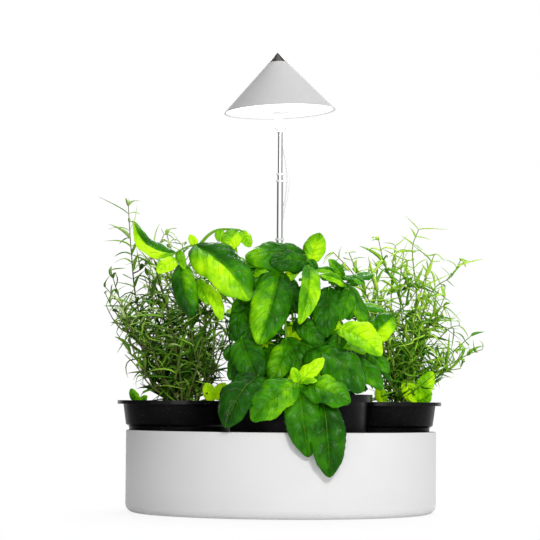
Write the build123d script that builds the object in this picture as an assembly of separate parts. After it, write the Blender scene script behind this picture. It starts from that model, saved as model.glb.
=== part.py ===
from build123d import *
import math
import os

os.makedirs("parts", exist_ok=True)

# Indoor herb planter: a round bowl that holds three potted herbs, with a telescopic grow lamp
# that stands in the front pot. Millimetres, +Z up, the front is -Y, the origin is the centre of
# the bowl's underside.

# Fits shared by many pieces
rest_clearance = 0.2
run_clearance = 0.05
press_clearance = 0.02
cut_overrun = 1.0
skin_gap = 0.3

# Bowl: its radius is worked out from the pots, with this clearance round them
bowl_clearance = 0.27
bowl_height = 78.5
bowl_wall = 2.0
bowl_foot_round = 8.0
bowl_edge_round = 0.7

# Side pots
side_rim_radius = 60.4
side_height = 105.0
side_lip_height = 3.6
side_lip_reach = 5.2
side_step_depth = 23.0
side_step_rise = 2.0
side_step_in = 2.9
side_upper_taper = 3.2
side_base_radius = 42.5
side_soil_depth = 12.0

# Front pot
front_rim_radius = 69.7
front_height = 111.5
front_lip_height = 7.0
front_lip_reach = 4.6
front_step_depth = 62.0
front_step_rise = 2.0
front_step_in = 1.5
front_upper_taper = 3.2
front_base_radius = 53.0
front_soil_depth = 9.5

# What all pots share
pot_wall = 1.1
pot_floor = 1.6
lip_skirt = 1.0
drain_radius = 4.0
drain_count = 6
drain_ring_share = 0.62

# Where the pots stand on the bowl's floor: the front pot, then the gap from its rim to each side
# pot's rim and the direction that this pot lies in, in degrees from +X
front_x, front_y = 15.1, -81.5
left_gap, left_turn = 12.92, 142.785
right_gap, right_turn = 1.01, 51.565

# Lamp pole and stake
pole_x, pole_y = -2.8, -42.0
top_tube_radius = 2.4
tube_wall = 0.3
outer_mouth_height = 261.5
lower_reach = 56.0
middle_reach = 6.5
top_reach = 40.5
lower_foot_rise = 67.5
middle_foot_rise = 7.5
top_foot_rise = 42.5
bush_head = 5.0
bush_spigot = 4.0
ring_length = 2.0
ring_lip = 0.8
ring_thickness = 0.6
collar_flare_radius = 4.1
collar_length = 2.6
stake_length = 88.0
stake_radius = 5.2
stake_tip_radius = 1.4
stake_flange_radius = 9.0
stake_flange = 2.0
socket_depth = 24.0

# Hinge under the shade
hinge_rise = 5.3
hinge_radius = 3.15
hinge_half_width = 4.6
hinge_middle_half_width = 1.8
hinge_side_gap = 0.1
pin_radius = 1.0
pin_head_radius = 1.9
pin_head = 0.5
knuckle_base_radius = 3.0
knuckle_base = 2.0
knuckle_spigot = 8.0
knuckle_depth = 4.0
yoke_thickness = 3.0
yoke_bridge = 1.8
neck_right = 2.0
neck_left = 3.2
neck_left_top = 9.4
flange_radius = 10.0
flange_thickness = 3.0

# Shade and light head, measured up from the hinge along the shade's own axis
shade_lean = 2.6
rim_rise = 14.6
shade_height = 56.9
shade_radius = 53.4
shade_wall = 1.0
cap_height = 9.0
cap_proud = 0.25
cap_tip_radius = 0.45
cap_spigot_radius = 3.9
cap_spigot = 5.0
cap_notch_radius = 1.2
diffuser_recess = 2.0
diffuser_thickness = 1.6
board_rise = 7.4
board_thickness = 1.6
board_radius = 36.0
chip_size = 3.2
chip_height = 0.9
chip_rings = ((6, 13.0), (12, 27.0))
sink_plate = 3.0
sink_fin_height = 10.0
sink_fin_thickness = 1.5
sink_fin_count = 8
sink_fin_inner = 8.0
screw_radius = 1.2
screw_head_radius = 2.2
screw_head = 1.2
screw_ring = 20.0
screw_count = 4
screw_bite = 2.2
rod_radius = 2.0
nut_across = 7.0
nut_height = 3.2

# Lead, its put-away coil and its plug
cable_radius = 1.4
grommet_x, grommet_y = 2.6, 4.6
grommet_top_radius = 1.9
grommet_end_radius = 1.5
grommet_length = 6.0
arc_share = 0.45
coil_radius = 20.1
coil_pitch = 3.3
coil_rise = 3.3
coil_half_turns = 5
plug_length = 18.0
plug_width = 13.0
plug_height = 8.0
plug_round = 2.0
plug_relief = 8.0
plug_relief_radius = 3.0
shell_length = 12.0
shell_width = 12.0
shell_height = 4.5
shell_wall = 0.4

# Herbs: every span scales the shares in its table
herb_span = 100.0
root_depth = 6.0
leaf_thickness = 0.7
basil_stem_radius = 1.6
basil_tip_radius = 1.0
petiole_radius = 0.8
rosemary_stem_radius = 1.3
tarragon_stem_radius = 1.2
sprig_tip_radius = 0.55
whorl_height = 2.2
rosemary_needle = 25.0
rosemary_needle_width = 2.0
tarragon_needle = 28.0
tarragon_needle_width = 1.8
needle_thickness = 0.9
whorl_count = 9


def save(shape, node):
    export_step(shape, "parts/" + node + ".step")


def ring_of(outer, inner, height):
    """An upright tube that stands on z = 0."""
    stand = (Align.CENTER, Align.CENTER, Align.MIN)
    hole = Pos(0, 0, -cut_overrun) * Cylinder(inner, height + cut_overrun + cut_overrun, align=stand)
    return Cylinder(outer, height, align=stand) - hole


def disc(radius, height):
    """A cylinder that stands on z = 0."""
    return Cylinder(radius, height, align=(Align.CENTER, Align.CENTER, Align.MIN))


def cone(low_radius, high_radius, height):
    """A frustum that stands on z = 0."""
    return Cone(low_radius, high_radius, height, align=(Align.CENTER, Align.CENTER, Align.MIN))


def turned(outline):
    """The solid that an outline of (radius, height) points makes when it turns about Z."""
    points = [(r, 0, z) for r, z in outline]
    return revolve(make_face(Polyline(*points, close=True)), Axis.Z)


# Bowl: a shell with an upright wall, a rounded foot and a softened edge
def bowl():
    skin = disc(bowl_radius, bowl_height)
    skin = fillet(skin.edges().group_by(Axis.Z)[0], bowl_foot_round)
    hollow = disc(bowl_radius - bowl_wall, bowl_height)
    hollow = fillet(hollow.edges().group_by(Axis.Z)[0], bowl_foot_round - bowl_wall)
    shell = skin - Pos(0, 0, bowl_wall) * hollow
    return fillet(shell.edges().group_by(Axis.Z)[-1], min(bowl_edge_round, bowl_wall * arc_share))


class PotSize:
    """The measures of one nursery pot, its foot on z = 0."""

    def __init__(self, rim, height, lip, reach, step_depth, step_rise, step_in, taper, base, soil):
        self.rim, self.height, self.lip = rim, height, lip
        self.neck = rim - reach
        self.shoulder = self.neck - taper
        self.waist = self.shoulder - step_in
        self.step_top = height - step_depth
        self.step_low = self.step_top - step_rise
        self.base = base
        self.soil_height = height - soil

    def outer(self, z):
        """The wall's outer radius at a height."""
        if z >= self.step_top:
            share = (z - self.step_top) / (self.height - self.step_top)
            return self.shoulder + (self.neck - self.shoulder) * share
        if z >= self.step_low:
            share = (z - self.step_low) / (self.step_top - self.step_low)
            return self.waist + (self.shoulder - self.waist) * share
        return self.base + (self.waist - self.base) * z / self.step_low

    def levels(self, low, high):
        """The heights between two levels where the wall's outline bends, with both ends."""
        return [low] + [z for z in (self.step_low, self.step_top) if low < z < high] + [high]


side_pot = PotSize(side_rim_radius, side_height, side_lip_height, side_lip_reach, side_step_depth,
                   side_step_rise, side_step_in, side_upper_taper, side_base_radius, side_soil_depth)
front_pot = PotSize(front_rim_radius, front_height, front_lip_height, front_lip_reach, front_step_depth,
                    front_step_rise, front_step_in, front_upper_taper, front_base_radius, front_soil_depth)


# Pot: a stepped, tapering wall with a flange that turns down at the rim, and drain holes
def pot(size):
    under_lip = size.height - pot_wall
    outside = [(size.outer(z), z) for z in size.levels(0, under_lip)]
    inside = [(size.outer(z) - pot_wall, z) for z in size.levels(pot_floor, size.height)]
    skirt = [(size.rim - lip_skirt, under_lip), (size.rim - lip_skirt, size.height - size.lip),
             (size.rim, size.height - size.lip), (size.rim, size.height)]
    shell = turned([(0, 0)] + outside + skirt + inside[::-1] + [(0, pot_floor)])
    hole = Pos(0, 0, -cut_overrun) * disc(drain_radius, pot_floor + cut_overrun + cut_overrun)
    return shell - PolarLocations(size.base * drain_ring_share, drain_count) * hole


# Growing medium: it fills the pot up to its level
def soil(size):
    side = [(size.outer(z) - pot_wall - rest_clearance, z) for z in size.levels(pot_floor, size.soil_height)]
    return turned([(0, pot_floor)] + side + [(0, size.soil_height)])


def beside_front(gap, turn):
    """Where a side pot stands, with its rim a gap away from the front pot's rim."""
    reach = front_rim_radius + side_rim_radius + gap
    return front_x + reach * math.cos(math.radians(turn)), front_y + reach * math.sin(math.radians(turn))


left_x, left_y = beside_front(left_gap, left_turn)
right_x, right_y = beside_front(right_gap, right_turn)
stands = [(side_pot, left_x, left_y), (side_pot, right_x, right_y), (front_pot, front_x, front_y)]
pots_reach = max(math.hypot(x, y) + size.outer(bowl_height - bowl_wall) for size, x, y in stands)
bowl_radius = pots_reach + bowl_clearance + bowl_wall

left_spot = Pos(left_x, left_y, bowl_wall)
right_spot = Pos(right_x, right_y, bowl_wall)
front_spot = Pos(front_x, front_y, bowl_wall)
pole_spot = Pos(pole_x, pole_y, 0)
front_soil_top = bowl_wall + front_pot.soil_height
side_soil_top = bowl_wall + side_pot.soil_height
stake_spot = Pos(pole_x, pole_y, front_soil_top)

# The pole's stages, outermost first. Each radius is worked out from the next one's, each mouth stands
# its reach above the mouth that it slides in, and each foot stands its rise above the bush below it
tube_names = ["outer_tube", "lower_tube", "middle_tube", "top_tube"]
tube_radii = [top_tube_radius + (tube_wall + run_clearance) * k for k in (3, 2, 1, 0)]
tube_tops = [outer_mouth_height]
for reach in (lower_reach, middle_reach, top_reach):
    tube_tops.append(tube_tops[-1] + reach)
top_tube_height = tube_tops[-1]
hinge_height = top_tube_height + hinge_rise
tube_feet = [front_soil_top + stake_flange - socket_depth]
tube_feet.append(tube_feet[0] + lower_foot_rise)
for rise in (middle_foot_rise, top_foot_rise):
    tube_feet.append(tube_feet[-1] + bush_spigot + rise + bush_head)


# Stake: a spike with a flange that rests on the soil and a socket for the pole
def stake_spike(gap):
    spike = cone(stake_tip_radius + gap, stake_radius + gap, stake_length)
    return Pos(0, 0, -stake_length) * spike


def ground_stake():
    body = stake_spike(0) + disc(stake_flange_radius, stake_flange)
    socket = disc(tube_radii[0] + press_clearance, socket_depth + cut_overrun)
    return body - Pos(0, 0, stake_flange - socket_depth) * socket


def tube(k):
    length = tube_tops[k] - tube_feet[k]
    return Pos(0, 0, tube_feet[k]) * ring_of(tube_radii[k], tube_radii[k] - tube_wall, length)


# Slide bush: a nylon plug in a stage's foot, which runs in the stage outside it
def bush(k):
    head = disc(tube_radii[k - 1] - tube_wall - run_clearance, bush_head)
    spigot = Pos(0, 0, bush_head) * disc(tube_radii[k] - tube_wall - press_clearance, bush_spigot)
    return Pos(0, 0, tube_feet[k] - bush_head) * (head + spigot)


# Mouth ring: a sleeve on a stage's mouth, whose lip guides the next stage
def mouth_ring(k, sleeve):
    grip = tube_radii[k] + press_clearance
    length = ring_length - ring_lip
    seat = Pos(0, 0, -cut_overrun) * disc(grip, length + cut_overrun)
    bore = Pos(0, 0, -cut_overrun) * disc(tube_radii[k + 1] + run_clearance, collar_length + ring_length)
    return Pos(0, 0, tube_tops[k] - length) * (sleeve - seat - bore)


def plain_ring(k):
    return mouth_ring(k, disc(tube_radii[k] + ring_thickness, ring_length))


def flared_collar():
    return mouth_ring(0, cone(tube_radii[0] + ring_thickness, collar_flare_radius, ring_length))


def cross_rod(radius, low_x, high_x):
    """A cylinder along X between two places, on the hinge axis."""
    rod = Rot(0, 90, 0) * Cylinder(radius, high_x - low_x)
    return Pos((low_x + high_x) / 2, 0, 0) * rod


def block(low, high):
    """A box between two opposite corners."""
    size = [b - a for a, b in zip(low, high)]
    middle = [(a + b) / 2 for a, b in zip(low, high)]
    return Pos(*middle) * Box(*size)


# Knuckle: the pole's half of the hinge, with a spigot in the top stage and an ear for the lead
def tilt_knuckle():
    half = hinge_middle_half_width
    base_low = -hinge_rise
    base_top = base_low + knuckle_base
    barrel = cross_rod(hinge_radius, -half, half)
    post = block((-half, -knuckle_depth / 2, base_top - rest_clearance), (half, knuckle_depth / 2, 0))
    base = Pos(0, 0, base_low) * disc(knuckle_base_radius, knuckle_base)
    spigot = Pos(0, 0, base_low - knuckle_spigot) * disc(
        top_tube_radius - tube_wall - press_clearance, knuckle_spigot + rest_clearance)
    ear = Pos(grommet_x, grommet_y, base_low) * disc(grommet_top_radius, knuckle_base)
    web_turn = math.degrees(math.atan2(grommet_y, grommet_x))
    reach = math.hypot(grommet_x, grommet_y)
    web = block((0, -grommet_end_radius, base_low), (reach, grommet_end_radius, base_top))
    body = barrel + post + base + spigot + ear + Rot(0, 0, web_turn) * web
    return body - cross_rod(pin_radius + run_clearance, -half - cut_overrun, half + cut_overrun)


def cable_grommet():
    return Pos(grommet_x, grommet_y, -grommet_length) * cone(
        grommet_end_radius, grommet_top_radius, grommet_length)


# Light head: heights along the shade's axis, from the hinge
apex = rim_rise + shade_height
slope = shade_radius / shade_height
cap_foot = apex - cap_height
side_wall = shade_wall / math.cos(math.atan(slope))
diffuser_low = rim_rise + diffuser_recess
board_low = diffuser_low + board_rise
sink_low = board_low + board_thickness
fin_top = sink_low + sink_plate + sink_fin_height


def shade_inner(height):
    """The radius inside the shade's wall at a height along its axis."""
    return (apex - height) * slope - side_wall


def in_shade(low, thickness):
    """A disc whose slanted edge seats in the shade's cone."""
    gap = rest_clearance
    return Pos(0, 0, low) * cone(shade_inner(low) - gap, shade_inner(low + thickness) - gap, thickness)


def shade():
    height = shade_height - cap_height
    top_radius = cap_height * slope
    skin = cone(shade_radius, top_radius, height)
    hollow = cone(shade_radius - side_wall, top_radius - side_wall + shade_wall * slope, height - shade_wall)
    hole = disc(cap_spigot_radius + rest_clearance, height + cut_overrun)
    return Pos(0, 0, rim_rise) * (skin - hollow - hole)


def shade_cap():
    point = cone(cap_height * slope + cap_proud, cap_tip_radius, cap_height)
    spigot = Pos(0, 0, -cap_spigot) * disc(cap_spigot_radius, cap_spigot)
    bore = Pos(0, 0, -cap_spigot) * disc(rod_radius + press_clearance, cap_spigot + cap_height / 2)
    notch = Rot(90, 0, 0) * disc(cap_notch_radius, cap_height * slope + cap_proud + cut_overrun)
    body = point - Pos(0, 0, 0) * notch
    return Pos(0, 0, cap_foot) * (body + spigot - bore)


def rod_hole():
    return disc(rod_radius + rest_clearance, apex)


def centre_rod():
    low = diffuser_low - flange_thickness
    return Pos(0, 0, low) * disc(rod_radius, cap_foot + cap_height / 2 - rest_clearance - low)


def clamp_nut():
    flat = RegularPolygon(nut_across / 2, 6, major_radius=False)
    nut = extrude(flat, nut_height) - Pos(0, 0, -cut_overrun) * disc(
        rod_radius + press_clearance, nut_height + cut_overrun + cut_overrun)
    return Pos(0, 0, sink_low + sink_plate) * nut


def diffuser():
    return in_shade(diffuser_low, diffuser_thickness) - rod_hole()


def screw_spots():
    return PolarLocations(screw_ring, screw_count, start_angle=180 / screw_count)


def led_board():
    board = Pos(0, 0, board_low) * disc(board_radius, board_thickness)
    hole = Pos(0, 0, board_low - cut_overrun) * disc(
        screw_radius + rest_clearance, board_thickness + cut_overrun + cut_overrun)
    return board - rod_hole() - screw_spots() * hole


def led_chips():
    chips = []
    for count, ring in chip_rings:
        chip = Box(chip_size, chip_size, chip_height, align=(Align.CENTER, Align.CENTER, Align.MAX))
        chips += [spot * chip for spot in PolarLocations(ring, count)]
    return Compound([Pos(0, 0, board_low) * chip for chip in chips])


def board_screws():
    head = Pos(0, 0, board_low - screw_head) * disc(screw_head_radius, screw_head)
    shank = Pos(0, 0, board_low) * disc(screw_radius, board_thickness + screw_bite)
    return Compound([spot * (head + shank) for spot in screw_spots()])


def heat_sink():
    plate = in_shade(sink_low, sink_plate)
    fin_reach = shade_inner(fin_top) - rest_clearance
    fin = block((sink_fin_inner, -sink_fin_thickness / 2, sink_low + sink_plate / 2),
                (fin_reach, sink_fin_thickness / 2, fin_top))
    for spot in PolarLocations(0, sink_fin_count):
        plate += spot * fin
    bite = Pos(0, 0, sink_low - cut_overrun) * disc(
        screw_radius + press_clearance, screw_bite + cut_overrun + rest_clearance)
    return plate - rod_hole() - screw_spots() * bite


# Yoke: two lugs under a bridge, a neck that widens to one side, and the flange under the diffuser
def shade_yoke():
    inner = hinge_middle_half_width + hinge_side_gap
    outer = hinge_half_width
    bridge_low = hinge_radius + skin_gap
    bridge_top = bridge_low + yoke_bridge
    flange_low = diffuser_low - flange_thickness
    half = yoke_thickness / 2
    body = block((-outer, -half, bridge_low), (outer, half, bridge_top))
    for low, high in ((-outer, -inner), (inner, outer)):
        body += cross_rod(hinge_radius, low, high)
        body += block((low, -half, 0), (high, half, bridge_top))
    neck_outline = Polyline((-neck_left, 0, bridge_low), (neck_right, 0, bridge_low),
                            (neck_right, 0, flange_low + half), (-neck_left_top, 0, flange_low + half),
                            close=True)
    neck = extrude(make_face(neck_outline), half, dir=(0, 1, 0), both=True)
    lean = Rot(0, -shade_lean, 0)
    flange = Pos(0, 0, flange_low) * disc(flange_radius, flange_thickness)
    bore = Pos(0, 0, flange_low) * disc(rod_radius + press_clearance, flange_thickness + cut_overrun)
    body += neck
    body += lean * flange
    return body - lean * bore - cross_rod(pin_radius + press_clearance, -outer - cut_overrun, outer + cut_overrun)


def hinge_pin():
    outer = hinge_half_width
    pin = cross_rod(pin_radius, -outer - pin_head / 2, outer + pin_head / 2)
    return pin + cross_rod(pin_head_radius, -outer - pin_head, -outer) + cross_rod(
        pin_head_radius, outer, outer + pin_head)


# Lead: the route of its free stretches, a list of places chosen by hand
cable_exit = (pole_x + grommet_x, pole_y + grommet_y, top_tube_height - grommet_length)
route_top = [(-0.2, -37.4, 358.5), (-0.2, -37.4, 349.5), (2.2, -37.2, 337.0), (3.4, -37.0, 321.0),
             (2.4, -36.6, 306.0), (0.0, -35.8, 292.0), (-1.3, -35.5, 279.0)]
route_upper = [(-1.3, -35.5, 279.0), (-2.86, -35.14, 263.4), (-3.16, -35.04, 247.4)]
route_middle = [(-3.16, -35.04, 247.4), (-3.46, -34.94, 231.4), (-2.2, -34.6, 204.0), (-1.0, -34.4, 172.0),
                (-1.3, -34.0, 157.0)]
route_lower = [(-1.3, -34.0, 157.0), (-1.6, -33.6, 142.0), (-1.0, -28.0, 124.6), (-0.3, -20.0, 121.8)]
route_table = [(-0.3, -20.0, 121.8), (0.4, -12.0, 119.0), (2.0, 8.0, 111.0), (3.2, 34.0, 97.5),
               (4.4, 64.0, 87.5), (5.2, 98.0, 83.0), (5.6, 123.0, 84.4), (5.8, 140.0, 86.6),
               (6.0, 151.0, 85.6), (6.5, 158.5, 76.0), (6.8, 160.8, 58.0), (7.2, 161.6, 34.0),
               (8.0, 162.4, 18.0), (9.5, 164.0, 8.5), (15.0, 166.6, 2.6), (24.0, 168.4, 1.4),
               (34.0, 168.4, 1.4)]
coil_start = route_table[-1]
tail_steps = [(0.0, 0.0, 0.0), (-9.0, 0.0, 0.0), (-19.0, 1.0, -2.4), (-29.0, 2.0, -5.8),
              (-40.0, 2.4, -7.3), (-50.0, 2.4, -7.3)]


def rounded_path(points):
    """Straight runs joined by arcs, each as large as its two runs allow. Also returns the radii."""
    runs = [Vector(*b) - Vector(*a) for a, b in zip(points, points[1:])]
    radii = []
    for before, after in zip(runs, runs[1:]):
        half_turn = math.radians(before.get_angle(after)) / 2
        radii.append(arc_share * min(before.length, after.length) / math.tan(half_turn))
    return FilletPolyline(*points, radius=radii), radii


def cable_along(path):
    section = Plane(origin=path @ 0, z_dir=path % 0) * Circle(cable_radius)
    return sweep(section, path=path)


def cable_stretch(points):
    path, radii = rounded_path(points)
    print("lead stretch", round(path.length, 1), "mm, least arc", round(min(radii), 1), "mm")
    return cable_along(path)


def coil_path():
    """Half turns about two centres: the coil winds in and out, and climbs at each reversal."""
    at, ahead = Vector(*coil_start), Vector(1, 0, 0)
    up = Vector(0, 0, 1)
    radius, step = coil_radius, -coil_pitch / 2
    arcs = []
    for layer in range(4):
        for climb in [0] * coil_half_turns + [1] * (layer < 3):
            inward = up.cross(ahead)
            rise = coil_rise * climb / (radius + radius)
            side = inward * math.sqrt(1 - rise * rise) + up * rise
            middle = at + ahead * radius + side * radius
            end = at + side * (radius + radius)
            arcs.append(ThreePointArc(at, middle, end))
            at, ahead = end, ahead * -1
            radius += step
        step = -step
        radius += step + step
    return Wire(arcs), at


def least_gap(path):
    """The least distance between turns of a path that aren't neighbours along it, less a diameter."""
    count = math.ceil(path.length / cable_radius)
    points = [path @ (k / count) for k in range(count + 1)]
    apart = math.ceil(coil_radius / cable_radius)
    least = min((points[i] - points[j]).length for i in range(count + 1) for j in range(i + apart, count + 1))
    return least - cable_radius - cable_radius


# Plug on the lead's end: a moulded grip with a tapered relief, and a thin metal shell
def plug_body():
    grip = Box(plug_length, plug_width, plug_height, align=(Align.MAX, Align.CENTER, Align.CENTER))
    grip = fillet(grip.edges().filter_by(Axis.X), plug_round)
    relief = Rot(0, 90, 0) * cone(plug_relief_radius, cable_radius, plug_relief)
    return grip + relief


def plug_shell():
    ends = (Align.MAX, Align.CENTER, Align.CENTER)
    shell = Box(shell_length, shell_width, shell_height, align=ends)
    hollow = Box(shell_length - shell_wall, shell_width - shell_wall - shell_wall,
                 shell_height - shell_wall - shell_wall, align=ends)
    return Pos(-plug_length, 0, 0) * (shell - Pos(-shell_wall, 0, 0) * hollow)


# Herbs: closed facet solids worked out from a few places each
def facet_solid(points, triangles):
    faces = [Face(Wire.make_polygon([points[i] for i in t], close=True)) for t in triangles]
    return Solid(Shell(faces))


def quad(a, b, c, d):
    return [(a, b, c), (a, c, d)]


def leaf_frame(base, tip, face):
    """The ways along a leaf, across it and out of its upper side."""
    forward = (tip - base).normalized()
    side = forward.cross(face).normalized()
    return forward, side, side.cross(forward)


def leaf_rib(base, tip, face, arch, t):
    """A place on a leaf's midrib, which bows by arch along the way it faces."""
    along = tip - base
    top = leaf_frame(base, tip, face)[2]
    return base + along * t + top * (arch * along.length * 4 * t * (1 - t))


def leaf(base, tip, width, face, arch, cup):
    """A leaf with a bowed midrib, whose edges drop by cup."""
    forward, side, top = leaf_frame(base, tip, face)
    points = [base, tip]
    for lift in (leaf_thickness / 2, -leaf_thickness / 2):
        for t, wide in leaf_width_shares:
            rib = leaf_rib(base, tip, face, arch, t) + top * lift
            reach = side * (wide * width / 2)
            drop = top * (cup * width * wide)
            points += [rib - reach - drop, rib, rib + reach - drop]
    triangles = []
    for start, flip in ((2, False), (11, True)):
        sheet = [(0, start, start + 1), (0, start + 1, start + 2)]
        for row in (start, start + 3):
            sheet += quad(row, row + 3, row + 4, row + 1) + quad(row + 1, row + 4, row + 5, row + 2)
        last = start + 6
        sheet += [(last, 1, last + 1), (last + 1, 1, last + 2)]
        triangles += [t[::-1] if flip else t for t in sheet]
    for edge in (2, 4):
        rim = [edge, edge + 3, edge + 6]
        triangles += [(0, rim[0] + 9, rim[0]), (1, rim[2], rim[2] + 9)]
        for a, b in zip(rim, rim[1:]):
            triangles += quad(a, a + 9, b + 9, b)
    return facet_solid(points, triangles)


def stem_rings(points, ways, radii, turn):
    """Four corners round each place of a stem. One side's heading is carried along, so none twists."""
    across = ways[0].cross(Vector(1, 0.3, 0.2)).normalized()
    corners = []
    for centre, way, radius in zip(points, ways, radii):
        across = (across - way * across.dot(way)).normalized()
        other = way.cross(across)
        for k in range(4):
            angle = turn + math.pi / 2 * k
            corners.append(centre + across * (radius * math.cos(angle)) + other * (radius * math.sin(angle)))
    return corners


def nearest_on(points, place):
    """The place on a stem's line, a little inside each run, that is nearest to another place."""
    spots = []
    for a, b in zip(points, points[1:]):
        run = b - a
        share = (place - a).dot(run) / run.dot(run)
        spots.append(a + run * max(joint_margin, min(1 - joint_margin, share)))
    return min(spots, key=lambda spot: (spot - place).length)


def stem(points, low_radius, high_radius):
    """A four-sided tapering stem through its places."""
    count = len(points)
    ways = [(points[min(k + 1, count - 1)] - points[max(k - 1, 0)]).normalized() for k in range(count)]
    radii = [low_radius + (high_radius - low_radius) * k / (count - 1) for k in range(count)]
    corners = stem_rings(points, ways, radii, 0)
    triangles = [(0, 3, 2), (0, 2, 1)]
    for row in range(0, 4 * (count - 1), 4):
        for k in range(4):
            n = (k + 1) % 4
            triangles += quad(row + k, row + n, row + 4 + n, row + 4 + k)
    last = 4 * (count - 1)
    triangles += quad(last, last + 1, last + 2, last + 3)
    return facet_solid(corners, triangles)


def sprig_place(foot, tip, lean, t):
    """A sprig rises first and leans out later: the sideways way grows as a power of the height."""
    way = tip - foot
    return Vector(foot.X + way.X * t ** lean, foot.Y + way.Y * t ** lean, foot.Z + way.Z * t)


def sprig(foot, tip, lean, turn, low_radius, needle, needle_width):
    """A stem with pairs of narrow blades that grow out of its own sides."""
    levels = [0.0]
    step = whorl_height / (tip - foot).length
    for k in range(whorl_count):
        middle = 0.16 + 0.8 * k / (whorl_count - 1)
        levels += [middle - step / 2, middle + step / 2]
    levels.append(1.0)
    places, ways, radii = [], [], []
    for t in levels:
        ahead = sprig_place(foot, tip, lean, min(t + step, 1.0)) - sprig_place(foot, tip, lean, max(t - step, 0.0))
        places.append(sprig_place(foot, tip, lean, t))
        ways.append(ahead.normalized())
        radii.append(low_radius + (sprig_tip_radius - low_radius) * t)
    points = stem_rings(places, ways, radii, turn)
    triangles = [(0, 3, 2), (0, 2, 1)]
    for level in range(len(levels) - 1):
        row = 4 * level
        for k in range(4):
            n = (k + 1) % 4
            corners = (row + k, row + n, row + 4 + n, row + 4 + k)
            whorl = (level - 1) // 2
            if level % 2 == 0 or level == 0 or (whorl + k) % 2:
                triangles += quad(*corners)
                continue
            triangles += blade(points, corners, ways[level], levels[level], whorl, needle, needle_width)
    last = 4 * (len(levels) - 1)
    triangles += quad(last, last + 1, last + 2, last + 3)
    return facet_solid(points, triangles)


def blade(points, corners, ahead, share, whorl, needle, needle_width):
    """Four sides from a patch of the stem out to the blade's middle, then four to its tip."""
    a, b, c, d = [points[i] for i in corners]
    root = (a + b + c + d) / 4
    across = (b - a).normalized()
    out = across.cross(ahead).normalized()
    reach = needle * (0.75 + 0.35 * math.sin(math.pi * share)) * (0.9 + 0.1 * (whorl % 3))
    way = (out * 0.78 + ahead * 0.62).normalized()
    flat = across.cross(way).normalized()
    middle = root + way * (reach * 0.45) + Vector(0, 0, reach * 0.03)
    tip = root + way * reach - Vector(0, 0, reach * 0.06)
    half = across * (needle_width / 2)
    thick = flat * (needle_thickness / 2)
    if thick.dot(ahead) < 0:
        thick = thick * -1
    first = len(points)
    points += [middle - half - thick, middle + half - thick, middle + half + thick, middle - half + thick, tip]
    triangles = []
    for k in range(4):
        n = (k + 1) % 4
        triangles += quad(corners[k], corners[n], first + n, first + k)
        triangles.append((first + k, first + n, first + 4))
    return triangles


# Leaf: places along the midrib, each with its width, as shares of the length and the width
leaf_width_shares = ((0.16, 0.62), (0.42, 1.0), (0.72, 0.78))
joint_margin = 0.06

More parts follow.
